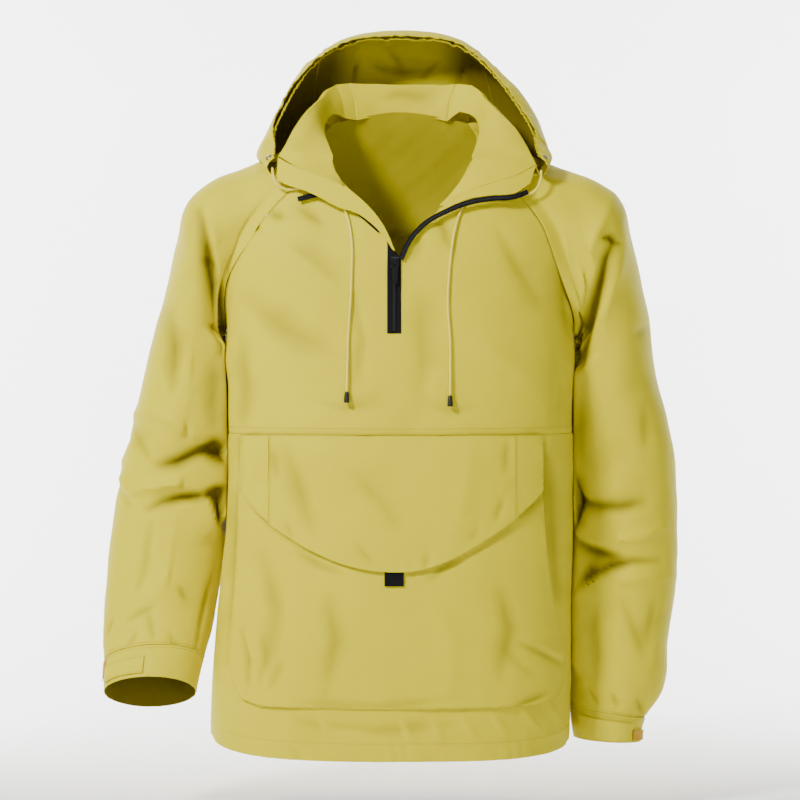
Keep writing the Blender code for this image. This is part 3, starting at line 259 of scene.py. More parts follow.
SLIDER_Z = -122.0  # of the pull's hinge

# ---- pocket and flap
POCKET = (
    # z, left x, right x
    (-331, -191, 169), (-400, -194, 171), (-493, -198, 179), (-573, -204, 192),
    (-612, -206, 201), (-636, -200, 196), (-651, -186, 184), (-657, -168, 162))
POCKET_RISE = 3.2
FLAP_LOWER = (  # lower edge of the centre panel: x, z
    (-158, -437), (-110, -466), (-64, -485), (-20, -492.5), (10, -492.5), (46, -484),
    (67, -475), (104, -454), (140, -430))
EAR_LEFT_LOWER = ((-193, -400), (-176, -420), (-158.6, -435))
EAR_RIGHT_LOWER = ((140.6, -428), (160, -412), (173, -398))
FLAP_RISE = (5.2, 7.6)  # of its face: at the seam that holds it, further down
FLAP_LIFT = 25.0  # distance down in which it comes to the second
TAB = (-18.5, 4.5, -476.0, -510.0)  # webbing under the flap: left, right, top, bottom
TAB_RISE = 5.4

# ---- drawcord
CORD = 3.2  # diameter
CORD_SPACING = 9.6
BRAID_SWELL = 0.05  # of the cord's radius, as the strands of its braid go by
BRAID_PITCH = 2.6
# Routes from the eyelet, under the band and down the front: x, z, rise over the chest.
CORD_LEFT = (
    (-155.5, -5, 17.5), (-154, -15, 17.0), (-150, -25, 13.0), (-139, -31, 6.0),
    (-118, -30, 2.3), (-92, -38, 2.1), (-72, -49, 2.1), (-64, -65, 2.1), (-59, -88, 2.1),
    (-58.5, -149, 2.1), (-62, -213, 2.4), (-63.5, -277.5, 4.3))
CORD_RIGHT = (
    (172, -8, 20.0), (171, -20, 19.0), (166, -31, 14.0), (157, -37, 7.5), (146, -38, 4.5),
    (122, -33, 2.3), (98, -37, 2.1), (80, -46, 2.1), (73, -60, 2.1), (65, -88, 2.1),
    (60, -125, 2.1), (57.5, -175, 2.1), (60, -213, 2.4), (60, -282, 4.3))
CORD_END = (  # turned profile with its two grooves: distance down, radius
    (0.0, 1.9), (0.3, 2.1), (1.5, 2.6), (2.4, 2.75), (2.6, 2.55), (3.0, 2.55), (3.2, 2.8),
    (5.6, 3.0), (5.8, 2.8), (6.2, 2.8), (6.4, 3.05), (9.0, 3.2), (11.6, 3.35), (12.4, 3.3),
    (12.8, 3.1), (13.0, 2.7))
EYELET = (9.0, 4.2, 1.2)  # outer and inner diameter, thickness
EYELET_PLACE = 0.22  # from the corner profile, in profiles
EYELET_SHARE = 0.55  # up the last stretch of the profile

# ---- how the cloth is drawn in, creased and pressed against what it touches
SEAM_ROLL = (0.75, 1.5)  # depth and width in which cloth rolls in at a seam
CREASE_SHARPNESS = 1.4  # 2 is a soft bell, 1 a sharp fold
CREASE_ENDS = 0.35  # share of its height that a crease keeps at its ends
CREASE_TURN = (0.45, 0.5)  # how far past the silhouette a crease starts, and over how much it grows
DEEPEST_PAINTED_SHADE = 0.85  # how much of the colour painted as shade the deepest folds take on
PAINTED_FOLD_SHADE = (0.4, 6.5)  # depth where shade starts to be painted into a fold, and how much deeper it is painted in full
INNER_ARM = -0.15  # how much a sleeve's cloth faces the body where its ridges stay low
INNER_RIDGE = 0.5  # height that they keep there
HOOD_FADE = 0.22  # share of a panel in which its creases fade to a seam
RIPPLES = ((46, 1.0, 1), (17, 0.3, 2))  # length, share of the swell, and place in the pattern
# The lower front gives way under the pocket: none at the first value, all at the second.
UNDER_POCKET = 3.6  # depth
UNDER_POCKET_ACROSS = (190, 176)  # distance from the middle
UNDER_POCKET_BOTTOM = (-645, -629)  # z
UNDER_POCKET_TOP = (-345, -361)  # z
# A sleeve's inner side lies against the body from the underarm down to where it swings free.
SNUG_FROM = -188.0  # z of the underarm
SNUG_FROM_IN_FRONT = {-1: -196.0, 1: -226.0}  # further down where the front shows
SNUG_DOWN_TO = {-1: -430.0, 1: -610.0}
SNUG_GAP = 1.2  # to the body
SNUG_START, SNUG_END = 28.0, 40.0  # heights in which it comes to lie there, and leaves
SNUG_FACING = (0.2, 0.7)  # how much the cloth faces the body: none of it lies there, all
SNUG_ROUND = (0.92, 0.52)  # how far round the body, as a share of its half depth: none, all
SNUG_FLAT = 0.7  # share of the half depth past which the body counts as no narrower

# ---- creases, seen from the front or from the back
# Each is height (a trough is negative), width, and x, z of each point of its line.
FRONT_CREASES = {
    "sleeve_left": (
        (-9.0, 8, -247, -57, -239, -84, -232, -116, -226, -154, -221, -191, -217, -228),
        (4.0, 7, -234, -59, -222, -102, -216, -145, -212, -186),
        (-4.0, 4, -238, -118, -227, -125),
        (-4.5, 4, -232, -196, -221, -203),
        (-4.0, 11, -283, -186, -280, -233, -283, -283),
        (3.0, 7, -258, -226, -257, -283),
        (-4.0, 12, -228, -238, -231, -288, -233, -332),
        (7.0, 8, -331, -305, -308, -304, -283, -312, -263, -325, -244, -341),
        (-2.8, 6, -337, -317, -325, -340, -310, -363),
        (-8.0, 7, -298, -369, -275, -364, -250, -352, -228, -346),
        (-18.0, 9, -241, -348, -227, -352, -211, -359),
        (8.0, 6, -210, -387, -233, -388, -260, -390, -298, -395, -337, -402, -351, -387),
        (-2.4, 6, -357, -389, -342, -409, -335, -424),
        (-8.0, 7, -216, -400, -243, -407, -270, -408, -295, -414, -312, -423),
        (-15.0, 9, -226, -402, -221, -421, -216, -451),
        (5.0, 5, -248, -399, -234, -425, -226, -451, -219, -469),
        (5.0, 11, -265, -426, -268, -461, -278, -493, -298, -523),
        (-3.0, 4, -274, -516, -263, -536),
        (-3.0, 4, -342, -563, -319, -549, -298, -538),
        (-3.0, 4, -365, -583, -356, -558),
        (-2.4, 7, -310, -441, -315, -488, -325, -526),
        (-3.5, 2.6, -231, -493, -239, -526, -247, -565, -252, -600),
        (-2.6, 4, -310, -550, -301, -585),
        (-2.4, 3.5, -334, -590, -324, -573),
        (-2.4, 3.5, -275, -593, -283, -573),
    ),
    "sleeve_right": (
        (5.5, 8, 263, -35, 252, -58, 241, -82, 232, -104, 227, -139, 222, -176, 219, -216),
        (-6.0, 4, 246, -89, 258, -89, 270, -97),
        (-11.0, 8, 263, -97, 253, -116, 246, -145, 236, -177, 228, -208, 221, -240),
        (4.0, 8, 278, -84, 272, -109, 263, -141, 252, -176, 243, -211, 233, -243),
        (-4.0, 12, 226, -255, 223, -325, 226, -382),
        (-2.4, 5, 310, -198, 290, -209),
        (-2.6, 8, 304, -292, 305, -350),
        (-15.0, 9, 216, -392, 222, -414, 213, -444),
        (3.5, 4, 216, -392, 233, -409, 217, -449),
        (-6.5, 8, 221, -412, 248, -419, 273, -420, 300, -415),
        (7.0, 7, 215, -452, 238, -459, 267, -462, 298, -459, 327, -446),
        (-7.0, 7, 217, -461, 234, -471, 255, -478, 270, -482),
        (-6.0, 9, 241, -486, 236, -503, 223, -526),
        (5.0, 4.5, 218, -531, 229, -521, 248, -507),
        (-6.5, 7, 238, -506, 263, -493, 288, -488, 320, -487),
        (4.5, 7, 236, -526, 270, -512, 308, -507, 342, -509),
        (-3.2, 10, 238, -545, 244, -598, 243, -630),
        (-2.6, 9, 275, -536, 293, -575, 305, -610),
        (-3.2, 3.5, 234, -647, 246, -667),
        (-3.2, 3.5, 295, -660, 304, -679),
        (-2.6, 3.5, 270, -667, 263, -650),
        (-2.4, 7, 317, -536, 308, -585),
    ),
    "front_yoke": (
        (-4.0, 6, -158, -60, -142, -66),
        (-3.4, 5, -180, -73, -170, -82),
        (-3.2, 6, -120, -55, -94, -74),
        (3.4, 20, -170, -100, -122, -132, -74, -168),
        (-3.4, 16, -149, -91, -101, -122, -62, -163),
        (-2.4, 18, -185, -168, -137, -204, -84, -230),
        (-2.6, 7, -55, -163, -46, -216, -53, -268),
        (-3.6, 8, 194, -115, 202, -158, 205, -204),
        (-2.6, 12, 120, -86, 139, -122, 168, -168),
        (2.6, 16, 84, -204, 144, -254, 178, -285),
        (-2.0, 14, 24, -168, 29, -240, 22, -300),
        (-2.8, 10, -194, -216, -190, -264, -192, -316),
        (-2.2, 7, -98, -290, -66, -298, -34, -291),
        (-2.0, 9, 36, -292, 60, -302, 91, -295),
        (-2.0, 9, 187, -230, 194, -278, 192, -319),
        (-2.4, 7, 14, -74, 24, -103, 10, -122),
        (-3.0, 6, 34, -64, 53, -79, 60, -103),
    ),
    "front_lower": (
        # The first two run beside the ears' outer edges: narrow troughs whose depth paints the ears' shadow
        # into the colour.
        (-5.0, 2.6, -194, -333, -194, -372, -194, -400),
        (-5.0, 2.8, 175, -333, 175, -400),
        (-5.0, 8, -199, -408, -200, -480, -202, -540, -203, -604),
        (3.0, 7, -188, -480, -192, -540, -197, -588),
        (-5.0, 4.5, -205, -602, -196, -624, -185, -646),
        (-3.6, 4, -185, -648, -178, -636, -167, -624),
        (-4.0, 8, 184, -372, 185, -414, 188, -462, 193, -528),
        (-3.2, 4, 192, -576, 196, -604),
        (-3.0, 5, 181, -636, 200, -619),
        (-2.2, 4, -198, -336, -192, -372, -196, -405),
        (-2.2, 7, -125, -675, -24, -684, 62, -676),
        (2.6, 3.6, -178, -664, -166, -688),
        (2.8, 3.6, -137, -667, -122, -691),
        (2.8, 3.6, -94, -669, -82, -693),
        (2.8, 3.6, 2, -674, 14, -696),
        (2.8, 3.6, 38, -672, 53, -696),
        (3.0, 3.6, 74, -669, 91, -693),
        (3.0, 3.6, 110, -664, 130, -691),
        (2.8, 3.6, 146, -660, 168, -686),
        (2.4, 3.6, 180, -655, 194, -676),
    ),
    "pocket": (
        # The first four run along the lower edges of the flap and its ears: narrow troughs whose depth paints
        # the flap's shadow into the colour.
        (-2.2, 2.4, -156, -444, -120, -465, -72, -483, -20, -496),
        (-2.2, 2.4, 10, -496, 48, -488, 96, -466, 139, -435),
        (-4.4, 2.6, -194, -398, -185, -408, -158, -439),
        (-4.4, 2.6, 174, -399, 166, -410, 143, -429),
        (-3.6, 4.5, 149, -583, 168, -592, 199, -610),
        (2.0, 4.5, 149, -574, 170, -584, 199, -600),
        (-1.6, 5, 130, -590, 146, -609, 166, -624),
        (-3.4, 4.5, 144, -655, 178, -644),
        (-3.0, 12, -84, -528, -77, -576, -89, -636),
        (2.6, 15, 36, -528, 62, -576, 58, -636),
        (-2.6, 12, -166, -480, -149, -540, -158, -600),
        (-3.0, 10, 120, -516, 134, -564, 120, -619),
        (1.8, 6, -185, -576, -173, -600, -175, -628),
        (-3.2, 4.5, -192, -566, -184, -602, -185, -640),
        (-2.6, 5, -166, -576, -163, -602, -173, -636),
        (-2.4, 5, -142, -604, -158, -636),
        (-3.0, 6, -125, -470, -94, -487, -72, -494),
        (-2.6, 6, 38, -501, 53, -487, 74, -480),
        (-2.0, 6, -120, -652, -24, -654, 72, -646),
    ),
    "pocket_flap": (
        (-2.0, 5, -50, -462, -34, -482),
        (-2.0, 5, 36, -470, 29, -487),
        (-2.0, 4, -139, -432, -130, -451),
        (-2.6, 12, -137, -348, -120, -396, -106, -444),
        (2.2, 14, 84, -348, 74, -408, 60, -462),
        (-1.8, 10, -60, -372, -24, -408, 0, -444),
        (-2.4, 4, 124, -408, 115, -432),
        (-2.0, 4, -154, -348, -149, -379),
        (-2.0, 4, 130, -340, 127, -372),
        (-1.6, 4, 84, -456, 94, -441),
    ),
    "hood_casing": (
        (-3.0, 4, -63, 184, -58, 168),
        (-3.0, 4, -71, 179, -79, 163),
        (-3.0, 4, 66, 187, 71, 171),
        (-3.0, 4, 81, 179, 89, 163),
        (-2.4, 5, -26, 187, -10, 176),
        (-2.4, 5, 26, 187, 13, 176),
        (-2.6, 4, -107, 161, -115, 145),
        (-2.6, 4, 115, 161, 126, 145),
        (-2.6, 4, -128, 134, -136, 119),
    ),
    "hood_centre": (
        (-6.0, 3.4, -59, 171, -59, 150, -62, 126),
        (-6.0, 3.4, 81, 171, 81, 150, 79, 126),
        (-4.0, 6, -47, 161, -26, 150, 5, 145, 37, 150),
        (3.0, 6, -37, 142, -10, 133, 26, 132),
        (-3.6, 5, 63, 171, 47, 155, 26, 137),
        (-3.0, 5, -21, 179, -5, 163, 3, 150),
        (3.0, 6, 13, 174, 34, 166, 60, 163),
        (-3.0, 9, -26, 100, 0, 106, 39, 103),
    ),
    "hood_left": (
        (-5.0, 6, -71, 166, -86, 153, -107, 142),
        (-5.0, 6, -66, 145, -81, 126, -102, 116),
        (4.0, 6, -84, 168, -100, 150, -123, 129),
        (-4.0, 7, -115, 126, -131, 106, -144, 74),
        (4.0, 6, -79, 137, -92, 116, -107, 100),
        (-4.0, 5, -152, 74, -155, 50, -149, 32),
    ),
    "hood_right": (
        (-5.0, 6, 92, 166, 107, 153, 123, 132),
        (-5.0, 6, 86, 150, 102, 129, 113, 111),
        (4.0, 6, 110, 166, 126, 145, 141, 126),
        (-4.0, 7, 131, 119, 147, 95, 157, 69),
        (4.0, 6, 100, 140, 121, 116, 131, 92),
        (-4.0, 5, 160, 82, 170, 56, 170, 32),
    ),
}
# Where the front's pulls go on round the other side.
BACK_CREASES = {
    "sleeve_left": (
        (-8.0, 11, -241, -89, -232, -139, -222, -191),
        (4.8, 10, -265, -102, -248, -164, -233, -219),
        (-7.2, 8, -345, -337, -310, -346, -260, -345, -218, -352),
        (6.4, 8, -350, -364, -310, -374, -263, -374, -218, -379),
        (-7.2, 8, -350, -394, -310, -404, -260, -402, -221, -399),
        (4.0, 10, -310, -436, -285, -486, -278, -536),
        (-3.2, 9, -253, -436, -263, -486, -268, -548),
        (-2.6, 6, -347, -548, -320, -558, -298, -550),
    ),
    "sleeve_right": (
        (-8.0, 11, 253, -89, 243, -139, 231, -194),
        (4.8, 10, 278, -102, 260, -164, 246, -219),
        (-6.4, 9, 236, -418, 273, -426, 325, -418),
        (6.4, 9, 233, -451, 273, -461, 327, -454),
        (-7.2, 8, 236, -486, 279, -492, 337, -488),
        (4.0, 10, 248, -523, 273, -566, 270, -620),
        (-3.2, 10, 308, -523, 298, -573, 290, -630),
        (-2.9, 9, 298, -288, 305, -350),
    ),
    "back": (
        (-4.8, 14, -202, -168, -166, -204, -120, -218),
        (-4.8, 14, 206, -168, 168, -204, 120, -218),
        (3.5, 16, -206, -204, -156, -247, -96, -264),
        (3.5, 16, 210, -204, 156, -247, 94, -264),
        (-4.2, 18, -120, -48, -72, -67, 0, -74, 72, -67, 126, -48),
        (-3.5, 16, -84, -312, -77, -432, -94, -576),
        (3.2, 18, -34, -336, -24, -480, -34, -636),
        (-3.2, 16, 62, -324, 72, -456, 84, -600),
        (2.9, 18, 132, -348, 127, -480, 139, -624),
        (-3.8, 12, -197, -432, -187, -528, -194, -624),
        (-3.8, 12, 199, -432, 187, -528, 194, -624),
        (-2.9, 10, -180, -636, -120, -662, -58, -657),
        (-2.9, 10, 192, -633, 127, -657, 62, -660),
    ),
}


def hermite(t, step, start, end, slope, last_slope):
    """Share t of the way along a smooth stretch `step` long, between two values and slopes."""
    return ((2 * t**3 - 3 * t**2 + 1) * start + (3 * t**2 - 2 * t**3) * end
            + step * ((t**3 - 2 * t**2 + t) * slope + (t**3 - t**2) * last_slope))


def spline(keys, values, at):
    """Value at `at` of the smooth curve through the rows `values`, placed at `keys`."""
    keys = np.asarray(keys, float)
    values = np.asarray(values, float)
    slopes = np.gradient(values, keys, axis=0)
    at = min(max(at, keys[0]), keys[-1])
    i = min(max(int(np.searchsorted(keys, at)) - 1, 0), len(keys) - 2)
    step = keys[i + 1] - keys[i]
    return hermite((at - keys[i]) / step, step, values[i], values[i + 1], slopes[i], slopes[i + 1])


def soft_step(value, none=0.0, full=1.0):
    """Smooth step from 0 where `value` is `none` to 1 where it is `full`."""
    share = np.clip((value - none) / (full - none), 0, 1)
    return share * share * (3 - 2 * share)


def lengths(points):
    """Distance along a row of points, up to each."""
    steps = np.linalg.norm(np.diff(points, axis=0), axis=1)
    return np.concatenate(([0.0], np.cumsum(steps)))


def even(points, count, scale=1.0):
    """`count` points evenly spaced on the smooth curve through `points`.

    `scale` weighs each coordinate when the spacing is measured.
    """
    points = np.asarray(points, float)
    keys = lengths(points * scale)
    fine = np.array([spline(keys, points, k) for k in np.linspace(0, keys[-1], 12 * count)])
    run = lengths(fine * scale)
    wanted = np.linspace(0, run[-1], count)
    return np.stack([np.interp(wanted, run, fine[:, i]) for i in range(fine.shape[1])], axis=1)


# ---- the body's surface

BODY_KEYS = [row[0] for row in BODY]
BODY_SIZES = [row[1:] for row in BODY]


def half_sizes(angle, z, back):
    """Half width and half depth of the body at height z, on the side of `angle`."""
    left, right, front, rear = spline(BODY_KEYS, BODY_SIZES, z)
    return (left if angle < 0 else right), (rear if back else front)


def on_body(angle, z, out=0.0, back=False):
    """A point on the body, `out` over it.

    `angle` runs from -1 at the left side seam through 0 in the middle to 1 at the right.
    """
    def place(a, height):
        width, depth = half_sizes(a, height, back)
        turn = a * math.pi / 2
        n = BODY_SQUARENESS
        reach = (abs(math.sin(turn) / width)**n + abs(math.cos(turn) / depth)**n)**(-1 / n)
        y = reach * math.cos(turn)
        return np.array([reach * math.sin(turn), BODY_MIDDLE + (y if back else -y), height])

    point = place(angle, z)
    if not out:
        return point
    return point + out * body_normal(angle, z, back)


def body_normal(angle, z, back=False):
    """Unit vector away from the body."""
    step = 0.004
    across = on_body(angle + step, z, 0, back) - on_body(angle - step, z, 0, back)
    up = on_body(angle, z + 1, 0, back) - on_body(angle, z - 1, 0, back)
    normal = np.cross(up, across) if back else np.cross(across, up)
    return normal / np.linalg.norm(normal)


def angle_of(x, z, back=False):
    """Angle of the point of the body that is at x, at height z."""
    width, depth = half_sizes(x, z, back)
    share = min(abs(x) / width, 1.0)
    y = depth * (1 - share**BODY_SQUARENESS)**(1 / BODY_SQUARENESS)
    return math.copysign(math.atan2(abs(x), y) / (math.pi / 2), x)


def seen(x, z, out=0.0):
    """Point over the front that lies at x, z when seen from the front.

    It is moved straight forwards, as far as puts it `out` over the slope there.
    """
    angle = angle_of(x, z)
    facing = max(-body_normal(angle, z)[1], 0.4)
    return on_body(angle, z) - np.array([0, out / facing, 0])


def chart(points, back=False):
    """The angle and height of each x, z of a seam on the body."""
    return np.array([(angle_of(x, z, back), z) for x, z in points])


CHART_SCALE = np.array([250.0, 1.0])  # a quarter turn is about this long


# ---- the pieces' coarse rows

def raglan(table, back=False):
    """Places down a raglan seam, from the neck to the underarm."""
    return even(chart(table, back), RAGLAN_STEPS + 1, CHART_SCALE)


def mirrored(table):
    return [(-x, *rest) for x, *rest in table]


def towards_middle(places, amount):
    """The places moved a little towards the middle of the body."""
    moved = places.copy()
    moved[:, 0] -= np.sign(moved[:, 0]) * amount
    return moved


def row_between(a, b, cells):
    return [a + (b - a) * i / cells for i in range(cells + 1)]


def neck_and_slit(table, x):
    """Places down an edge of the front: the neck, then the zip's slit."""
    neck_rows = 8
    neck = even(chart(table), neck_rows, CHART_SCALE)
    slit_rows = RAGLAN_STEPS + 1 - neck_rows
    heights = np.linspace(table[-1][1], ZIP_BOTTOM, slit_rows + 1)[1:]
    return np.concatenate((neck, [(angle_of(x, z), z) for z in heights]))


def yoke_seam(angle):
    return YOKE_SEAM - YOKE_SAG * math.cos(angle * math.pi / 2)


def hem(angle):
    return HEM + HEM_RISE[-1 if angle < 0 else 1] * abs(angle)**6


def front_angles(z):
    """Angles of the lower front's columns, which the pocket's straight sides follow."""
    left, right = pocket_sides(max(z, POCKET[4][0]))
    beside, across = 4, 18
    return np.concatenate((np.linspace(SIDE_ANGLE - 1, left, beside + 1)[:-1],
                           np.linspace(left, right, across + 1),
                           np.linspace(right, 1 - SIDE_ANGLE, beside + 1)[1:]))


def pocket_sides(z):
    """Angles of the pocket's two sides at height z."""
    left, right = spline([-row[0] for row in POCKET], [row[1:] for row in POCKET], -z)
    return angle_of(left, z), angle_of(right, z)


def arm_ring(row):
    """Points round the arm: from its inner side over the front, outside and back."""
    inner_x, inner_z, outer_x, outer_z, middle_y, depth, pitch, taper = row
    middle = np.array([(inner_x + outer_x) / 2, middle_y, (inner_z + outer_z) / 2])
    half = np.array([(outer_x - inner_x) / 2, 0, (outer_z - inner_z) / 2])
    lean = math.radians(pitch)
    fore = depth * np.array([0, -math.cos(lean), math.sin(lean)])
    points = []
    for i in range(ARM_STEPS):
        turn = 2 * math.pi * i / ARM_STEPS
        narrow = 1 - taper * (1 + math.cos(turn)) / 2
        points.append(middle - half * math.cos(turn) + fore * narrow * math.sin(turn))
    return np.array(points)


def armhole(side, front_table, back_table):
    """Points round the raglan seam, and the sleeve's ring after it.

    They start at the underarm and go up the front, over the neck and down the back.
    """
    front = raglan(front_table)[::-1]
    back = raglan(back_table, True)
    over_neck = (on_body(*front[-1]), np.multiply(NECK_SIDE, (side, 1, 1)), on_body(*back[0], back=True))
    points, onward = [], []

    def add_point(point, along, bend):
        outwards = np.array([side, 0, -0.25])
        heading = (1 - bend) * along / np.linalg.norm(along) + bend * outwards
        rise = SEAM_RISE[0] * (1 - bend) + SEAM_RISE[1] * bend
        points.append(point)
        onward.append(point + rise * heading / np.linalg.norm(heading))

    def add_seam(places, steps, behind):
        for (angle, z), step in zip(places, steps):
            point = on_body(angle, z, 0, behind)
            ahead = on_body(angle + side * 0.004, z, 0, behind)
            add_point(point, ahead - point, soft_step(step, *UNDERARM_BEND))

    add_seam(front, range(RAGLAN_STEPS, -1, -1), False)
    for point in even(over_neck, NECK_STEPS + 1)[1:-1]:
        add_point(point, np.array([side * 0.93, 0, -0.37]), 0.0)
    add_seam(back[:-1], range(RAGLAN_STEPS), True)
    return points, onward


def sleeve_grid(side, front_table, back_table, rings):
    """Outer points of a sleeve, from the raglan seam to the cuff."""
    rows = np.array([*armhole(side, front_table, back_table), *(arm_ring(ring) for ring in rings)])
    keys = range(len(rows))
    places = []
    for k in keys[:-1]:
        steps = SLEEVE_STEPS.get(k, 1)
        places += [k + i / steps for i in range(steps)]
    places.append(len(rows) - 1)
    return np.array([spline(keys, rows, p) for p in places])


def on_cuff(rings, degrees, share, out):
    """A point over a cuff: degrees round it from its inner side, share of its length."""
    def place(turn, along):
        spots = []
        for row in rings:
            ring = arm_ring(row)
            position = turn / 360 * ARM_STEPS
            i = int(position)
            spots.append(ring[i] + (ring[i + 1] - ring[i]) * (position - i))
        i = min(int(along * (len(rings) - 1)), len(rings) - 2)
        return spots[i] + (spots[i + 1] - spots[i]) * (along * (len(rings) - 1) - i)

    point = place(degrees, share)
    across = place(degrees + 2, share) - place(degrees - 2, share)
    down = place(degrees, min(share + 0.05, 1)) - place(degrees, max(share - 0.05, 0))
    normal = np.cross(down, across)
    normal /= np.linalg.norm(normal)
    middle = np.mean([arm_ring(row).mean(axis=0) for row in rings], axis=0)
    if np.dot(normal, point - middle) < 0:
        normal = -normal
    return point + out * normal


def profile(at):
    """Points up the hood's inner face at a place between its profiles."""
    table = np.array(HOOD, float)
    table[0, 1] = seen(*above_band(BAND_LEFT, BAND_STEPS))
    table[-1, 1] = seen(*above_band(BAND_RIGHT, BAND_STEPS))
    points = spline(range(len(HOOD)), table, at)
    keys = lengths(points)
    places = []
    for k, count in enumerate(HOOD_STEPS):
        places += list(np.linspace(keys[k], keys[k + 1], count + 1)[:-1])
    places.append(keys[-1])
    return np.array([spline(keys, points, p) for p in places])


def band_rise(share):
    return BAND_RISE[0] + (BAND_RISE[1] - BAND_RISE[0]) * math.sin(share * math.pi / 2)


def band_edges(table):
    """Upper and lower edge of a band, and its rise, from the zip to the corner."""
    return even(table, BAND_STEPS + 1), [band_rise(s) for s in np.linspace(0, 1, BAND_STEPS + 1)]


def above_band(table, step):
    """Where the hood panel's edge is sewn to the band: x, z and rise over the chest."""
    edges, rises = band_edges(table)
    upper, lower = edges[step, :2], edges[step, 2:]
    gap = BAND_GAP[0] + (BAND_GAP[1] - BAND_GAP[0]) * (step / BAND_STEPS)**4
    x, z = upper + (upper - lower) / np.linalg.norm(upper - lower) * gap
    return np.array((x, z, rises[step]))


def lapel_columns(side):
    """Columns of a side panel where it folds out on the chest, from the corner down.

    Only their first rows are cloth; the rest repeat the last point.
    """
    stand = HOOD_STEPS[0]
    table, neck = (BAND_LEFT, LAPEL_LEFT) if side < 0 else (BAND_RIGHT, LAPEL_RIGHT)
    count = LAPEL_COLUMNS[side]
    inner = even(neck, count + 1)[1:]
    columns = []
    for k, neck_place in enumerate(inner, start=1):
        start = np.array((*neck_place, LAPEL_NECK_RISE))
        end = above_band(table, BAND_STEPS - k)
        puff = min(1.0, np.linalg.norm((end - start)[:2]) / LAPEL_PUFF)
        points = [seen(*(start + (end - start) * i / stand + (0, 0, puff * math.sin(math.pi * i / stand))))
                  for i in range(stand + 1)]
        points += [points[-1] - np.array([0, 0, 1e-3 * n]) for n in range(1, sum(HOOD_STEPS) - stand + 1)]
        columns.append(points)
    return columns


def flap_rise(drop):
    return FLAP_RISE[0] + (FLAP_RISE[1] - FLAP_RISE[0]) * soft_step(drop, 0.0, FLAP_LIFT)


def corner_place(side):
    """Place and outward direction of an eyelet at a corner of the hood."""
    at = EYELET_PLACE if side < 0 else len(HOOD) - 1 - EYELET_PLACE
    near = at + (0.1 if side < 0 else -0.1)

    def point(where, share):
        rising = profile(where)[sum(HOOD_STEPS[:4]):]
        run = lengths(rising)
        return spline(run, rising, run[-1] * share)

    place = point(at, EYELET_SHARE)
    up = point(at, EYELET_SHARE + 0.1) - point(at, EYELET_SHARE - 0.1)
    along = point(near, EYELET_SHARE) - place
    normal = np.cross(up, along)
    normal /= np.linalg.norm(normal)
    if normal[1] > 0:
        normal = -normal
    return place, normal


def cord_points(route):
    line = np.array([seen(x, z, rise) for x, z, rise in route])
    count = round(lengths(line)[-1] / CORD_SPACING) + 1
    return even(line, count)


def yoke_grid():
    """Upper front, slit for the zip and open round the neck."""
    half = YOKE_COLUMNS
    left = towards_middle(raglan(RAGLAN_FRONT_LEFT), 2 * SIDE_ANGLE)
    right = towards_middle(raglan(RAGLAN_FRONT_RIGHT), 2 * SIDE_ANGLE)
    slit_left = neck_and_slit(NECK_LEFT, ZIP_LEFT)
    slit_right = neck_and_slit(NECK_RIGHT, ZIP_RIGHT)
    places = [row_between(a, b, half) + row_between(c, d, half)
              for a, b, c, d in zip(left, slit_left, slit_right, right)]
    top = np.array(places[-1])
    bottom = top.copy()
    bottom[:, 0] *= (1 - SIDE_ANGLE) / (1 - 2 * SIDE_ANGLE)
    bottom[:, 1] = [yoke_seam(a) + SEAM / 2 for a in bottom[:, 0]]
    lower_rows = 4
    places += [top + (bottom - top) * i / lower_rows for i in range(1, lower_rows + 1)]
    return np.array([[on_body(a, z) for a, z in row] for row in places])


def lower_grid():
    rows = 12
    places = []
    for s in np.linspace(0, 1, rows + 1):
        middle = YOKE_SEAM + (HEM - YOKE_SEAM) * s
        places.append([(a, (yoke_seam(a) - SEAM / 2) * (1 - s) + hem(a) * s)
                       for a in front_angles(middle)])
    return np.array([[on_body(a, z) for a, z in row] for row in places])


def back_grid():
    """One piece from the neck to the hem."""
    columns, lower_rows, neck_rows = 18, 8, 6
    left = towards_middle(raglan(mirrored(RAGLAN_BACK), True), 2 * SIDE_ANGLE)
    right = towards_middle(raglan(RAGLAN_BACK, True), 2 * SIDE_ANGLE)
    arch = NECK_BACK_TOP - RAGLAN_BACK[0][1]
    places = []
    for k, (a, b) in enumerate(zip(left, right)):
        rise = arch * max(0.0, 1 - k / neck_rows)
        row = np.array(row_between(a, b, columns))
        across = np.linspace(-1, 1, columns + 1)
        row[:, 1] += rise * (1 - across**2)
        places.append(row)
    top = places[-1]
    bottom = top.copy()
    bottom[:, 0] *= (1 - SIDE_ANGLE) / (1 - 2 * SIDE_ANGLE)
    bottom[:, 1] = [hem(a) for a in bottom[:, 0]]
    places += [top + (bottom - top) * i / lower_rows for i in range(1, lower_rows + 1)]
    return np.array([[on_body(a, z, 0, True) for a, z in row] for row in places])


def patch_grid(rings, spot):
    """Face of a piece that lies on a cuff."""
    start, end, top, bottom = spot
    step = 360 / ARM_STEPS
    between = [k * step for k in range(ARM_STEPS) if start + 2 < k * step < end - 2]
    turns = [start, *between, end]
    return np.array([[on_cuff(rings, t, s, STRAP_RISE) for t in turns] for s in (top, 0.5, bottom)])


def hood_grid(start, end, count, lapel):
    """A hood panel's inner face, and its first and last columns that stand up.

    `lapel` is the side on which it runs on as one, or 0.
    """
    step = (end - start) / count
    columns = [profile(start + step * i) for i in range(count + 1)]
    extra = lapel_columns(lapel) if lapel else []
    columns = extra[::-1] + columns if lapel < 0 else columns + (extra if lapel > 0 else [])
    first = len(extra) if lapel < 0 else 0
    return np.array(columns).transpose(1, 0, 2), first, first + count


def band_grid(table):
    """Face of the facing strip along a front edge."""
    across = 2
    edges, rises = band_edges(table)
    return np.array([[seen(*(row[:2] + (row[2:] - row[:2]) * c / across), rise)
                      for c in range(across + 1)] for row, rise in zip(edges, rises)])


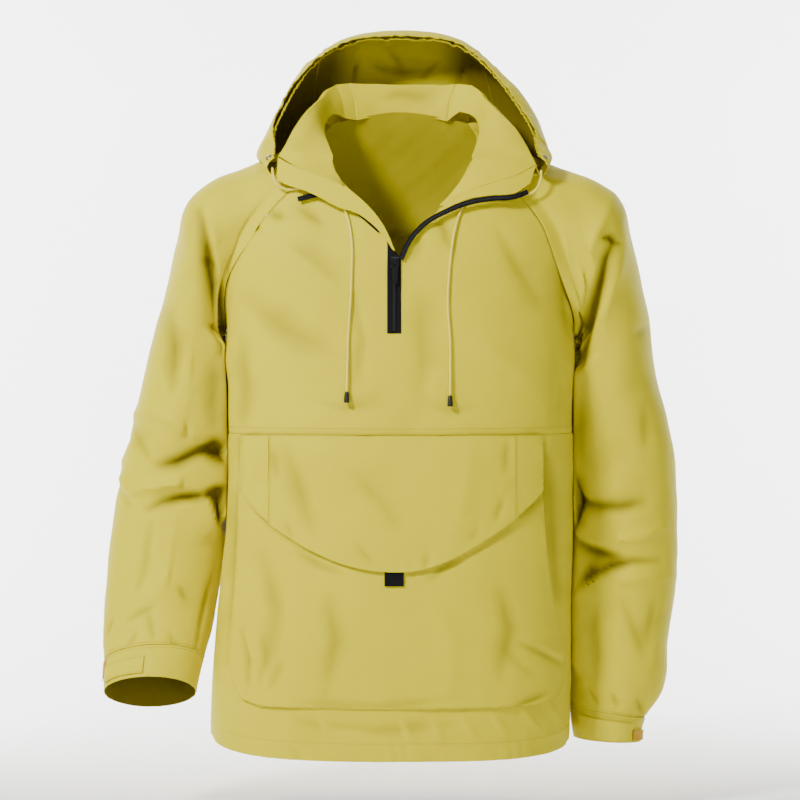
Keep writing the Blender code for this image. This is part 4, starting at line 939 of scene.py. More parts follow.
def tape_grid(table):
    """Half of the open zip, along its middle line."""
    line = even(table, 15)
    along = np.gradient(line[:, :2], axis=0)
    along /= np.linalg.norm(along, axis=1, keepdims=True)
    beside = np.stack((-along[:, 1], along[:, 0]), axis=1) * TAPE_WIDTH / 2
    return np.array([[seen(*(row[:2] + side * c), row[2]) for c in (-1, 1)]
                     for row, side in zip(line, beside)])


def strip_grid():
    """The closed zip between the slit's edges."""
    tops = np.linspace(STRIP_TOP_LEFT, STRIP_TOP_RIGHT, 4)
    sides = np.linspace(ZIP_LEFT + SEAM, ZIP_RIGHT - SEAM, 4)
    bottom = ZIP_BOTTOM + SEAM
    return np.array([[seen(x, top + (bottom - top) * s, STRIP_RISE) for x, top in zip(sides, tops)]
                     for s in np.linspace(0, 1, 6)])


def pocket_grid():
    """Face of the big pocket over the lower front."""
    heights = [*np.linspace(POCKET[0][0], -600, 8), -615, -630, -641, -649, -654, POCKET[-1][0]]
    return np.array([[on_body(a, z, POCKET_RISE) for a in np.linspace(*pocket_sides(z), 25)]
                     for z in heights])


def flap_grid(lower, columns):
    """Face of a piece of the flap, from the seam across the front to its lower edge."""
    rows = 6
    xs = np.linspace(lower[0][0], lower[-1][0], columns + 1)
    ends = [spline([x for x, _ in lower], [z for _, z in lower], x) for x in xs]
    top = POCKET[0][0]
    return np.array([[seen(x, top + (z - top) * s, flap_rise((top - z) * s)) for x, z in zip(xs, ends)]
                     for s in np.linspace(0, 1, rows + 1)])


def tab_grid():
    """Face of the webbing under the flap."""
    left, right, top, bottom = TAB
    return np.array([[seen(x, z, TAB_RISE) for x in (left, right)] for z in np.linspace(top, bottom, 3)])


def casing_grid():
    """Face of the turned-in hem inside the hood's face edge."""
    columns = 34
    bottom = sum(HOOD_STEPS[:2])
    rows = []
    for at in np.linspace(CASING_ENDS, len(HOOD) - 1 - CASING_ENDS, columns + 1):
        rising = profile(at)[bottom:]
        run = lengths(rising)
        width = min(CASING_WIDTH, CASING_SHARE * run[-1])
        rows.append([spline(run, rising, run[-1] - d) for d in (width, width / 2, 1.0)])
    face = np.array(rows).transpose(1, 0, 2)
    return face - (CASING_GAP + CASING_WALL) * outward(face, closed=False, flip=False)


# ---- smooth cloth from coarse rows

SURFACES = {}  # each finished cloth piece's points, outward directions and steps
EDGE_ROWS = (1.3, 3.2)  # distances from an edge at which the cloth gets a row of its own
CLOSEST_ROWS = 0.9
STITCH_RISE = 0.12  # of a row of stitches over the cloth


def row_keys(grid):
    """Mean distance down the grid to each of its rows."""
    steps = np.linalg.norm(np.diff(grid, axis=0), axis=-1).mean(axis=1)
    return np.concatenate(([0.0], np.cumsum(np.maximum(steps, 0.05))))


def stations(keys, pitch, breaks=()):
    """Fractional row numbers about `pitch` apart, with closer ones at both ends."""
    total = keys[-1]
    wanted = list(np.linspace(0, total, max(2, math.ceil(total / pitch) + 1)))
    if total > 5 * EDGE_ROWS[-1]:
        wanted += [*EDGE_ROWS, *(total - distance for distance in EDGE_ROWS)]
    fixed = [0.0, total] + [keys[b] for b in breaks]
    kept = sorted(fixed)
    for value in sorted(wanted):
        if min(abs(value - k) for k in kept) > CLOSEST_ROWS:
            kept.append(value)
    return np.interp(sorted(kept), keys, np.arange(len(keys)))


def resample(grid, at):
    """Rows of the smooth surface through the rows of `grid`, at fractional numbers."""
    keys = row_keys(grid)
    slopes = np.gradient(grid, keys, axis=0)
    i = np.clip(np.floor(at).astype(int), 0, len(grid) - 2)
    t = (at - i)[:, None, None]
    step = (keys[i + 1] - keys[i])[:, None, None]
    return hermite(t, step, grid[i], grid[i + 1], slopes[i], slopes[i + 1])


def fine_columns(grid, pitch, blocks):
    """Columns of each block between two of `blocks`, joined; with their numbers."""
    turned = grid.swapaxes(0, 1)
    parts, numbers = [], []
    edges = [0, *blocks, len(turned) - 1]
    for a, b in zip(edges, edges[1:]):
        part = turned[a:b + 1]
        at = stations(row_keys(part), pitch)
        if b - a == 1 and a in blocks and b in blocks:
            at = np.array([0.0, 1.0])
        rows = resample(part, at)
        keep = slice(None) if not parts else slice(1, None)
        parts.append(rows[keep])
        numbers.append(at[keep] + a)
    return np.concatenate(parts).swapaxes(0, 1), np.concatenate(numbers)


def fine_round(grid, pitch):
    """The same for a tube, whose last column joins its first."""
    turned = grid.swapaxes(0, 1)
    padded = np.concatenate((turned[-3:], turned, turned[:4]))
    keys = row_keys(padded)
    around = keys[3 + len(turned)] - keys[3]
    count = math.ceil(around / pitch)
    at = np.interp(keys[3] + around * np.arange(count) / count, keys, np.arange(len(keys)))
    return resample(padded, at).swapaxes(0, 1), at - 3


def outward(grid, closed, flip):
    """Unit vectors away from the face that shows."""
    source = np.concatenate((grid[:, -2:], grid, grid[:, :2]), axis=1) if closed else grid
    normal = np.cross(np.gradient(source, axis=0), np.gradient(source, axis=1))
    normal /= np.maximum(np.linalg.norm(normal, axis=2, keepdims=True), 1e-9)
    if closed:
        normal = normal[:, 2:-2]
        middle = grid.mean(axis=1, keepdims=True)
        flip = (normal * (grid - middle)).sum() < 0
    return -normal if flip else normal


def smoothed(field, closed, times=1):
    """The field evened out between neighbours."""
    for _ in range(times):
        sides = np.pad(field, ((0, 0), (1, 1), (0, 0)), mode="wrap" if closed else "edge")
        ends = np.pad(field, ((1, 1), (0, 0), (0, 0)), mode="edge")
        field = (2 * field + sides[:, :-2] + sides[:, 2:] + ends[:-2] + ends[2:]) / 6
    return field


def near_line(points, line):
    """Distance of each (x, z) to a polyline, and how far along it, from 0 to 1."""
    line = np.asarray(line, float)
    run = lengths(line)
    best = np.full(points.shape[:-1], 1e9)
    along = np.zeros(points.shape[:-1])
    for k, (a, b) in enumerate(zip(line, line[1:])):
        ab = b - a
        t = np.clip(((points - a) @ ab) / (ab @ ab), 0, 1)
        gap = np.linalg.norm(points - (a + t[..., None] * ab), axis=-1)
        closer = gap < best
        best = np.where(closer, gap, best)
        along = np.where(closer, (run[k] + t * (run[k + 1] - run[k])) / run[-1], along)
    return best, along


def creased(name, grid, normals):
    """How far the creases lift each point: soft ridges and troughs along short lines."""
    lift = np.zeros(grid.shape[:2])
    places = grid[..., [0, 2]]
    inner = (normals[..., 0] * np.sign(grid[..., 0]) < INNER_ARM) & ("sleeve" in name)
    past, full = CREASE_TURN
    for table, facing in ((FRONT_CREASES, -normals[..., 1]), (BACK_CREASES, normals[..., 1])):
        side = soft_step((facing + np.where(inner, 0.0, past)) / full)
        for height, width, *line in table.get(name, ()):
            gap, along = near_line(places, np.reshape(line, (-1, 2)))
            fade = CREASE_ENDS + (1 - CREASE_ENDS) * np.sin(np.pi * np.clip(along, 0.02, 0.98)) ** 0.7
            lift += side * height * fade * np.exp(-(gap / width)**CREASE_SHARPNESS)
    if "hood" in name:
        column = np.arange(lift.shape[1])
        lift *= soft_step(np.minimum(column, column[::-1]), 0.0, HOOD_FADE * len(column))
    if name == "front_lower":
        across, up = np.abs(places[..., 0]), places[..., 1]
        covered = (soft_step(across, *UNDER_POCKET_ACROSS) * soft_step(up, *UNDER_POCKET_BOTTOM)
                   * soft_step(up, *UNDER_POCKET_TOP))
        lift = lift * (1 - covered) - UNDER_POCKET * covered
    return np.where(inner, np.minimum(lift, INNER_RIDGE), lift)


def snug(points, normals, side):
    """A sleeve whose inner side lies against the body, down to where it swings free."""
    inward = -side * normals[..., 0]
    heights = points[..., 2]
    free = SNUG_DOWN_TO[side] - SNUG_END
    beside = (inward > SNUG_FACING[0]) & (heights > free) & (heights < SNUG_FROM)
    for i, j in zip(*np.nonzero(beside)):
        x, y, z = points[i, j]
        width, depth = half_sizes(side, z, y > BODY_MIDDLE)
        share = min(abs(y - BODY_MIDDLE) / depth, 1.0)
        reach = width * (1 - min(share, SNUG_FLAT)**BODY_SQUARENESS)**(1 / BODY_SQUARENESS) + SNUG_GAP
        start = SNUG_FROM if y > BODY_MIDDLE else SNUG_FROM_IN_FRONT[side]
        facing = soft_step(inward[i, j], *SNUG_FACING) * soft_step(share, *SNUG_ROUND)
        near = soft_step(z, start, start - SNUG_START) * soft_step(z, free, free + SNUG_END) * facing
        if abs(x) > reach:
            points[i, j, 0] += near * (side * reach - x)
    return points


def rippled(grid, scale, height, shift):
    """Slow unevenness of hanging cloth."""
    x, y, z = (grid[..., k] / scale for k in range(3))
    wave = (np.sin(1.9 * x + 0.7 * z + shift) * np.sin(1.3 * z - 0.9 * y + 2 * shift)
            + 0.6 * np.sin(3.1 * x - 1.7 * z + 3 * shift) * np.sin(2.3 * y + 2.9 * z + shift))
    return height * wave


def edge_gap(u, v, edge):
    """Distance of each point to one edge of its grid, along the cloth."""
    rows, columns = np.meshgrid(v, u, indexing="ij")
    return {"top": rows - v[0], "bottom": v[-1] - rows,
            "first": columns - u[0], "last": u[-1] - columns}[edge], rows, columns


def sewn(u, v, edges):
    """Cloth rolls in at a seam."""
    depth, width = SEAM_ROLL
    lift = np.zeros((len(v), len(u)))
    for edge in edges:
        gap, _, _ = edge_gap(u, v, edge)
        lift -= depth * np.exp(-(gap / width)**2)
    return lift


def puckered(u, v, edges):
    """Small gathers that stitches draw in beside an edge: edge, height, pitch, reach."""
    lift = np.zeros((len(v), len(u)))
    for edge, height, pitch, reach in edges:
        gap, rows, columns = edge_gap(u, v, edge)
        run = rows if edge in ("first", "last") else columns
        wander = run + 0.35 * pitch * np.sin(run / pitch * 1.7) + 0.25 * gap
        uneven = 0.65 + 0.35 * np.sin(run / pitch * 0.9 + 1)
        lift += height * uneven * np.sin(2 * math.pi * wander / pitch) * np.exp(-(gap / reach)**2)
    return lift


def shell_mesh(name, face, back, closed, present, u, v, shade):
    """A closed shell between two grids of points, with its cut laid out in its UV map."""
    rows, columns = face.shape[:2]
    wide = columns if closed else columns - 1
    cells = np.ones((rows - 1, wide), bool) if present is None else present
    corner = [(0, 0), (0, 1), (1, 1), (1, 0)]
    i, j = np.nonzero(cells)

    def index(di, dj):
        return (i + di) * (wide + 1) + j + dj

    top = np.stack([index(di, dj) for di, dj in corner], axis=1)
    grown = np.zeros((rows + 1, wide + 2), bool)
    grown[1:-1, 1:-1] = cells
    if closed:
        grown[1:-1, 0], grown[1:-1, -1] = cells[:, -1], cells[:, 0]
    rims = []
    beyond = {0: (-1, 0), 1: (0, 1), 2: (1, 0), 3: (0, -1)}
    for k, (di, dj) in beyond.items():
        bare = ~grown[i + 1 + di, j + 1 + dj]
        rims.append(top[bare][:, [k, (k + 1) % 4]])
    rims = np.concatenate(rims)
    size = rows * (wide + 1)
    walls = np.stack((rims[:, 1], rims[:, 0], rims[:, 0] + size, rims[:, 1] + size), axis=1)
    quads = np.concatenate((top, top[:, ::-1] + size, walls))
    spots = quads % size
    row, column = spots // (wide + 1), spots % (wide + 1)
    flat_u = np.append(u, u[-1] + (u[-1] - u[-2])) if closed else u
    uv = np.stack((flat_u[column], v[row]), axis=-1) * MM
    real = (quads // size) * rows * columns + row * columns + (column % columns)
    used, real = np.unique(real, return_inverse=True)
    points = np.concatenate((face.reshape(-1, 3), back.reshape(-1, 3)))[used] * MM
    mesh = bpy.data.meshes.new(name)
    mesh.from_pydata(points.tolist(), [], real.reshape(-1, 4).tolist())
    mesh.uv_layers.new(name="cut").data.foreach_set("uv", uv.reshape(-1).astype(np.float32))
    bm = bmesh.new()
    bm.from_mesh(mesh)
    bmesh.ops.recalc_face_normals(bm, faces=bm.faces)
    bm.to_mesh(mesh)
    bm.free()
    # Each point's painted shade, which the shell's finish mixes into its colour.
    values = shade.reshape(-1)[used].astype(np.float32)
    mesh.attributes.new("fold", "FLOAT", "POINT").data.foreach_set("value", values)
    mesh.shade_smooth()
    mesh.set_sharp_from_angle(angle=math.radians(60))
    return mesh


def put(name, mesh, material, replaced=()):
    """A finished piece: its finish, the body it moves with and the solids it stands for."""
    if material is not None:
        mesh.materials.clear()
        mesh.materials.append(material)
    obj = bpy.data.objects.new(name, mesh)
    bpy.context.scene.collection.objects.link(obj)
    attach(obj, "garment")
    if replaced:
        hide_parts(*replaced)
    return obj


def make_cloth(node, grid, material="shell", flip=False, closed=False, present=None,
               blocks=(), breaks=(), folds=(), pitch=None, wall=None, seams=(), puckers=(), swell=0.5,
               even_out=0, painted_shade_face=None, painted_shade_back=0.0):
    """Builds one cut piece of cloth on the form of its solid and measures its cut.

    `flip` turns round which face shows, `closed` joins the last column to the first and
    `present` tells which cells are cloth. The rows and columns of the grid in `breaks`,
    `folds` and `blocks` keep their places. The last two arguments are the shade painted on
    the face that shows and on the other one, besides the shade painted in the folds.
    """
    sizes = bpy.context.scene.anorak_sizes
    pitch = pitch or sizes.cloth_step / MM
    wall = wall or sizes.cloth_wall / MM
    if folds:
        rows, at_rows = fine_columns(grid.swapaxes(0, 1), pitch, folds)
        rows = rows.swapaxes(0, 1)
    else:
        at_rows = stations(row_keys(grid), pitch, breaks=breaks)
        rows = resample(grid, at_rows)
    points, at_columns = fine_round(rows, pitch) if closed else fine_columns(rows, pitch, blocks)
    cells = None
    if present is not None:
        middle_rows = np.floor((at_rows[:-1] + at_rows[1:]) / 2).astype(int)
        middle_columns = np.floor((at_columns[:-1] + at_columns[1:]) / 2).astype(int)
        cells = np.array([[present(i, j) for j in middle_columns] for i in middle_rows])
    v = row_keys(points)
    u = row_keys(points.swapaxes(0, 1))
    normals = smoothed(outward(points, closed, flip), closed, even_out)
    if node.startswith("sleeve"):
        points = snug(points, normals, -1 if node.endswith("left") else 1)
        normals = smoothed(outward(points, closed, flip), closed, even_out)
    lift = creased(node, points, normals) * sizes.crease_depth
    for length, share, place in RIPPLES:
        lift += rippled(points, length, share * swell * sizes.crease_depth, place * len(node))
    lift += sewn(u, v, seams) + puckered(u, v, puckers)
    points = points + lift[..., None] * normals
    normals = smoothed(outward(points, closed, flip), closed, even_out)
    back = points - wall * normals
    # Shade is painted into the troughs of the cloth, the more the deeper they are; some faces also get
    # painted shade of their own.
    shade = np.clip((-lift - PAINTED_FOLD_SHADE[0]) / PAINTED_FOLD_SHADE[1], 0, 1)
    painted_face_shade = np.maximum(shade, painted_shade_face(at_rows[:, None], points)) if painted_shade_face else shade
    mesh = shell_mesh("cloth_" + node, points, back, closed, cells, u, v,
                      np.stack((painted_face_shade, np.maximum(shade, painted_shade_back))))
    obj = put("cloth_" + node, mesh, MATERIALS[material](), (node,))
    SURFACES[node] = points, normals, u, v
    width, length = cut_size(points, closed, cells)
    return obj


def cut_size(points, closed, cells):
    """Longest row and longest column of the cloth."""
    source = np.concatenate((points, points[:, :1]), axis=1) if closed else points
    across = np.linalg.norm(np.diff(source, axis=1), axis=-1)
    down = np.linalg.norm(np.diff(source, axis=0), axis=-1)
    if cells is not None:
        across = across[:-1] * cells
        down = down[:, :-1] * cells
    return float(across.sum(axis=1).max()), float(down.sum(axis=0).max())


# ---- the finishes

def linear(text):
    """Linear colour of an sRGB hex value."""
    values = [int(text[i:i + 2], 16) / 255 for i in (1, 3, 5)]
    return tuple(v / 12.92 if v <= 0.04045 else ((v + 0.055) / 1.055)**2.4 for v in values)


def add(tree, kind, values=(), links=(), **settings):
    """A node with its settings, the values of its inputs and its links."""
    node = tree.nodes.new(kind)
    for key, value in settings.items():
        setattr(node, key, value)
    for key, value in dict(values).items():
        node.inputs[key].default_value = value
    for key, socket in dict(links).items():
        tree.links.new(socket, node.inputs[key])
    return node


def new_material(name, **sockets):
    """A material with its shader's own sockets set; gives it, its tree and its shader."""
    material = bpy.data.materials.new(name)
    material.use_nodes = True
    tree = material.node_tree
    shader = tree.nodes["Principled BSDF"]
    for key, value in sockets.items():
        shader.inputs[key.replace("_", " ")].default_value = value
    return material, tree, shader


def wave_scale(size):
    """Scale of a wave texture whose bands are `size` metres apart."""
    return 2 * math.pi / (20 * size)


def woven(tree, source, across, down):
    """Height of a plain weave whose threads lie `across` and `down` metres apart."""
    warp = add(tree, "ShaderNodeTexWave", {"Scale": wave_scale(across)}, {"Vector": source},
               wave_type="BANDS", bands_direction="X")
    weft = add(tree, "ShaderNodeTexWave", {"Scale": wave_scale(down)}, {"Vector": source},
               wave_type="BANDS", bands_direction="Y")
    return add(tree, "ShaderNodeMath", links={0: warp.outputs["Fac"], 1: weft.outputs["Fac"]},
               operation="MAXIMUM").outputs[0]


def tone(name):
    """One of the panel's colours, as a node takes it."""
    return (*getattr(bpy.context.scene.anorak_colours, name), 1)


def mottled(tree, shader, tones, scale, detail=2.0, relief=None):
    """Mixes two colours by a noise, which also raises the finish by `relief`: strength, depth."""
    place = add(tree, "ShaderNodeTexCoord")
    noise = add(tree, "ShaderNodeTexNoise", {"Scale": scale, "Detail": detail},
                {"Vector": place.outputs["Object"]})
    mix = add(tree, "ShaderNodeMix", {6: tone(tones[0]), 7: tone(tones[1])}, {0: noise.outputs["Fac"]},
              data_type="RGBA")
    tree.links.new(mix.outputs[2], shader.inputs["Base Color"])
    if relief:
        bump = add(tree, "ShaderNodeBump", {"Strength": relief[0], "Distance": relief[1]},
                   {"Height": noise.outputs["Fac"]})
        tree.links.new(bump.outputs[0], shader.inputs["Normal"])


@functools.cache
def shell_material():
    """Plain-woven nylon with a dull face: matt and even, with shade painted into its colour in its folds and
    on faces that lie deep inside.

    Its threads are 0.3 mm apart; they are drawn at 0.9 mm so that they show.
    """
    material, tree, shader = new_material("woven_nylon_shell", Roughness=0.6, Sheen_Weight=0.0,
                                          Specular_IOR_Level=0.12)
    place = add(tree, "ShaderNodeTexCoord")
    dye, crush, soft = (
        add(tree, "ShaderNodeTexNoise", {"Scale": scale, "Detail": detail},
            {"Vector": place.outputs["Object"]}).outputs["Fac"]
        for scale, detail in ((9.0, 2.0), (130.0, 3.0), (38.0, 2.0)))
    mix = add(tree, "ShaderNodeMix", {6: tone("shell"), 7: tone("shell_deep")}, {0: dye},
              data_type="RGBA")
    # Painted shade: each point carries how far it lies in shade in a fold or inside, and that much of the
    # dark colour is mixed in.
    fold = add(tree, "ShaderNodeAttribute", attribute_name="fold")
    deep = add(tree, "ShaderNodeMath", {1: DEEPEST_PAINTED_SHADE}, {0: fold.outputs["Fac"]}, operation="MULTIPLY")
    painted_fold_mix = add(tree, "ShaderNodeMix", {7: tone("shell_painted_fold_shade")},
                 {0: deep.outputs[0], 6: mix.outputs[2]}, data_type="RGBA")
    tree.links.new(painted_fold_mix.outputs[2], shader.inputs["Base Color"])
    weave = woven(tree, place.outputs["UV"], 0.0009, 0.0009)
    first = add(tree, "ShaderNodeBump", {"Strength": 0.22, "Distance": 0.0001}, {"Height": weave})
    second = add(tree, "ShaderNodeBump", {"Strength": 0.30, "Distance": 0.0005},
                 {"Height": crush, "Normal": first.outputs[0]})
    third = add(tree, "ShaderNodeBump", {"Strength": 0.35, "Distance": 0.0020},
                {"Height": soft, "Normal": second.outputs[0]})
    tree.links.new(third.outputs[0], shader.inputs["Normal"])
    return material


@functools.cache
def cord_material():
    """Braided polyester cord: matt, with a fine raised braid."""
    material, tree, shader = new_material("braided_polyester_cord", Roughness=0.68, Sheen_Weight=0.2)
    shader.inputs["Base Color"].default_value = tone("cord")
    place = add(tree, "ShaderNodeTexCoord")
    slanted = add(tree, "ShaderNodeMapping", {"Rotation": (0, 0, math.radians(45))},
                  {"Vector": place.outputs["UV"]})
    braid = woven(tree, slanted.outputs[0], 0.0011, 0.0011)
    bump = add(tree, "ShaderNodeBump", {"Strength": 0.6, "Distance": 0.0002}, {"Height": braid})
    tree.links.new(bump.outputs[0], shader.inputs["Normal"])
    return material


@functools.cache
def tape_material():
    """Woven polyester zip tape and webbing, dyed black: a close rib along its length."""
    material, tree, shader = new_material("woven_polyester_tape", Roughness=0.7, Specular_IOR_Level=0.15)
    mottled(tree, shader, ("black", "black_worn"), 60.0)
    place = add(tree, "ShaderNodeTexCoord")
    rib = woven(tree, place.outputs["UV"], 0.0014, 0.0009)
    bump = add(tree, "ShaderNodeBump", {"Strength": 0.5, "Distance": 0.0002}, {"Height": rib})
    tree.links.new(bump.outputs[0], shader.inputs["Normal"])
    return material


@functools.cache
def hook_material():
    """Hook side of a hook-and-loop tape: a dull field of close nylon hooks, with shade painted between them.
    """
    material, tree, shader = new_material("nylon_hook_tape", Roughness=0.85)
    place = add(tree, "ShaderNodeTexCoord")
    hooks = add(tree, "ShaderNodeTexVoronoi", {"Scale": 700.0}, {"Vector": place.outputs["UV"]})
    # Shade painted between the hooks: the darker colour is mixed in away from each hook.
    mix = add(tree, "ShaderNodeMix", {6: tone("patch"), 7: tone("patch_painted_shade")},
              {0: hooks.outputs["Distance"]}, data_type="RGBA")
    tree.links.new(mix.outputs[2], shader.inputs["Base Color"])
    bump = add(tree, "ShaderNodeBump", {"Strength": 0.8, "Distance": 0.0004},
               {"Height": hooks.outputs["Distance"]})
    tree.links.new(bump.outputs[0], shader.inputs["Normal"])
    return material


@functools.cache
def thread_material():
    """Spun polyester thread in the cloth's colour, a little duller than it."""
    material, tree, shader = new_material("polyester_thread", Roughness=0.7)
    mottled(tree, shader, ("thread", "shell_deep"), 900.0)
    return material


@functools.cache
def painted_metal_material():
    """Die-cast zinc with black paint: satin, worn brighter in places."""
    material, tree, shader = new_material("painted_zinc", Metallic=0.35, Roughness=0.36)
    mottled(tree, shader, ("black", "black_worn"), 420.0, 3.0, relief=(0.15, 0.0001))
    return material


@functools.cache
def brass_material():
    """Rolled brass with an antique nickel finish: a grey metal with brown in it."""
    material, tree, shader = new_material("antique_nickel_brass", Metallic=1.0, Roughness=0.34)
    mottled(tree, shader, ("metal", "metal_deep"), 700.0, 3.0, relief=(0.2, 0.0001))
    return material


@functools.cache
def moulded_material():
    """Injection-moulded polypropylene, black: satin with a fine grain."""
    material, tree, shader = new_material("moulded_polypropylene", Roughness=0.45)
    mottled(tree, shader, ("black", "black_worn"), 1500.0, 2.0, relief=(0.25, 0.0001))
    return material


@functools.cache
def paper_material():
    """Seamless studio paper: matt and almost white."""
    material, tree, shader = new_material("studio_paper", Roughness=0.9)
    mottled(tree, shader, ("paper", "paper_deep"), 3.0)
    # Looked at from behind, the paper lets the view through to the part.
    behind = add(tree, "ShaderNodeNewGeometry")
    clear = add(tree, "ShaderNodeBsdfTransparent")
    paper = add(tree, "ShaderNodeMixShader", {}, {
        0: behind.outputs["Backfacing"], 1: shader.outputs[0], 2: clear.outputs[0]})
    tree.links.new(paper.outputs[0], tree.nodes["Material Output"].inputs["Surface"])
    return material


MATERIALS = {"shell": shell_material, "tape": tape_material, "hook": hook_material}


# ---- what repeats along a line

def new_tree(name, inputs):
    """A Geometry Nodes tree with named inputs; gives it and the node that holds them."""
    tree = bpy.data.node_groups.new(name, "GeometryNodeTree")
    tree.interface.new_socket("Geometry", in_out="INPUT", socket_type="NodeSocketGeometry")
    for label, kind, value in inputs:
        socket = tree.interface.new_socket(label, in_out="INPUT", socket_type=kind)
        if value is not None:
            socket.default_value = value
    tree.interface.new_socket("Geometry", in_out="OUTPUT", socket_type="NodeSocketGeometry")
    return tree, tree.nodes.new("NodeGroupInput").outputs


def points_on_lines(tree, given, pitch):
    """Points `pitch` apart along the lines, and the turns that lay X along them."""
    curve = add(tree, "GeometryNodeMeshToCurve", links={"Mesh": given["Geometry"]})
    spaced = add(tree, "GeometryNodeResampleCurve", links={"Curve": curve.outputs[0], "Length": given[pitch]},
                 mode="LENGTH")
    tangent = add(tree, "GeometryNodeInputTangent")
    turn = add(tree, "FunctionNodeAlignRotationToVector", links={"Vector": tangent.outputs[0]}, axis="X")
    return spaced.outputs[0], turn.outputs[0]


def finished_tree(tree, instances, material):
    """Ends a tree with its instances made real and in their finish."""
    real = add(tree, "GeometryNodeRealizeInstances", links={0: instances})
    painted = add(tree, "GeometryNodeSetMaterial", links={"Geometry": real.outputs[0], "Material": material})
    add(tree, "NodeGroupOutput", links={0: painted.outputs[0]})
    return tree


def stitch_tree():
    """Short rounded stitches in a row along each line."""
    tree, given = new_tree("stitches_along_a_line", (
        ("Stitch pitch", "NodeSocketFloat", 0.003), ("Stitch length", "NodeSocketFloat", 0.0023),
        ("Thread width", "NodeSocketFloat", 0.0005), ("Thread", "NodeSocketMaterial", None)))
    points, turns = points_on_lines(tree, given, "Stitch pitch")
    size = add(tree, "ShaderNodeCombineXYZ", links={
        "X": given["Stitch length"], "Y": given["Thread width"], "Z": given["Thread width"]})
    stitch = add(tree, "GeometryNodeMeshIcoSphere", {"Radius": 0.5, "Subdivisions": 1})
    row = add(tree, "GeometryNodeInstanceOnPoints", links={
        "Points": points, "Instance": stitch.outputs[0], "Rotation": turns, "Scale": size.outputs[0]})
    return finished_tree(tree, row.outputs[0], given["Thread"])


def tooth_tree():
    """Zip teeth along a line: each sits the other way to the one before it."""
    tree, given = new_tree("zip_teeth_along_a_line", (
        ("Tooth pitch", "NodeSocketFloat", 0.0014),
        ("Tooth size", "NodeSocketVector", (0.0009, 0.0032, 0.0012)),
        ("Offset", "NodeSocketFloat", 0.0007), ("Tooth", "NodeSocketMaterial", None)))
    points, turns = points_on_lines(tree, given, "Tooth pitch")
    level = add(tree, "FunctionNodeAlignRotationToVector", {"Vector": (0.0, -1.0, 0.0)},
                {"Rotation": turns}, axis="Z", pivot_axis="X")
    number = add(tree, "GeometryNodeInputIndex")
    odd = add(tree, "ShaderNodeMath", {1: 2.0}, {0: number.outputs[0]}, operation="MODULO")
    side = add(tree, "ShaderNodeMath", {1: -0.5}, {0: odd.outputs[0]}, operation="ADD")
    reach = add(tree, "ShaderNodeMath", links={0: side.outputs[0], 1: given["Offset"]}, operation="MULTIPLY")
    cube = add(tree, "GeometryNodeMeshCube", links={"Size": given["Tooth size"]})
    row = add(tree, "GeometryNodeInstanceOnPoints", links={
        "Points": points, "Instance": cube.outputs[0], "Rotation": level.outputs[0]})
    shift = add(tree, "ShaderNodeCombineXYZ", links={"Y": reach.outputs[0]})
    moved = add(tree, "GeometryNodeTranslateInstances", links={
        "Instances": row.outputs[0], "Translation": shift.outputs[0]})
    return finished_tree(tree, moved.outputs[0], given["Tooth"])


def along_lines(name, lines, tree, values):
    """The plain mesh that a tree makes along some lines, given in millimetres."""
    points, edges = [], []
    for line in lines:
        start = len(points)
        points += [tuple(p * MM) for p in line]
        edges += [(k, k + 1) for k in range(start, len(points) - 1)]
    guide_mesh = bpy.data.meshes.new(name + "_line")
    guide_mesh.from_pydata(points, edges, [])
    guide = bpy.data.objects.new(name + "_line", guide_mesh)
    bpy.context.scene.collection.objects.link(guide)
    modifier = guide.modifiers.new("along", "NODES")
    modifier.node_group = tree
    for socket in tree.interface.items_tree:
        if socket.item_type == "SOCKET" and socket.in_out == "INPUT" and socket.name in values:
            modifier[socket.identifier] = values[socket.name]
    bpy.context.view_layer.update()
    made = bpy.data.meshes.new_from_object(guide.evaluated_get(bpy.context.evaluated_depsgraph_get()))
    guide.modifiers.remove(modifier)
    bpy.data.objects.remove(guide)
    made.name = name
    return made


def inset(node, edge, distance, start, end):
    """A line on a finished piece, `distance` in from an edge and just over the cloth.

    It runs from `start` to `end`, as shares of the edge.
    """
    points, normals, u, v = SURFACES[node]
    if edge in ("top", "bottom"):
        points, normals, u, v = points.swapaxes(0, 1), normals.swapaxes(0, 1), v, u
    if edge in ("last", "bottom"):
        points, normals = points[:, ::-1], normals[:, ::-1]
    first, last = round(start * (len(points) - 1)), round(end * (len(points) - 1))
    line = []
    for row, direction in zip(points[first:last + 1], normals[first:last + 1]):
        run = lengths(row)
        at = min(distance, run[-1])
        spot = np.array([np.interp(at, run, row[:, k]) for k in range(3)])
        lean = np.array([np.interp(at, run, direction[:, k]) for k in range(3)])
        line.append(spot + STITCH_RISE * lean)
    return np.array(line)


# ---- sizes and colours that a user may change

def size(name, description, default, least):
    return bpy.props.FloatProperty(name=name, description=description, default=default, min=least,
                                   unit="LENGTH")


class AnorakSizes(bpy.types.PropertyGroup):
    """Sizes of the cloth, its folds and its sewing."""
    cloth_wall: size("Cloth", "Thickness of the shell cloth", 0.0008, 0.0003)
    cloth_step: size("Cloth step", "Distance between the points of the cloth", 0.0036, 0.002)
    crease_depth: bpy.props.FloatProperty(
        name="Crease depth", description="Depth of all creases, as a share of their own", default=1.0,
        min=0.0, max=1.5, subtype="FACTOR")
    stitch_pitch: size("Stitch pitch", "Distance from one stitch to the next", 0.0032, 0.001)
    stitch_length: size("Stitch length", "Length of one stitch", 0.0024, 0.0005)
    thread_width: size("Thread", "Thickness of the sewing thread", 0.0008, 0.0002)
    tooth_pitch: size("Tooth pitch", "Distance from one zip tooth to the next", 0.0014, 0.0008)


def colour(name, description, text):
    return bpy.props.FloatVectorProperty(name=name, description=description, default=linear(text),
                                         size=3, min=0.0, max=1.0, subtype="COLOR")


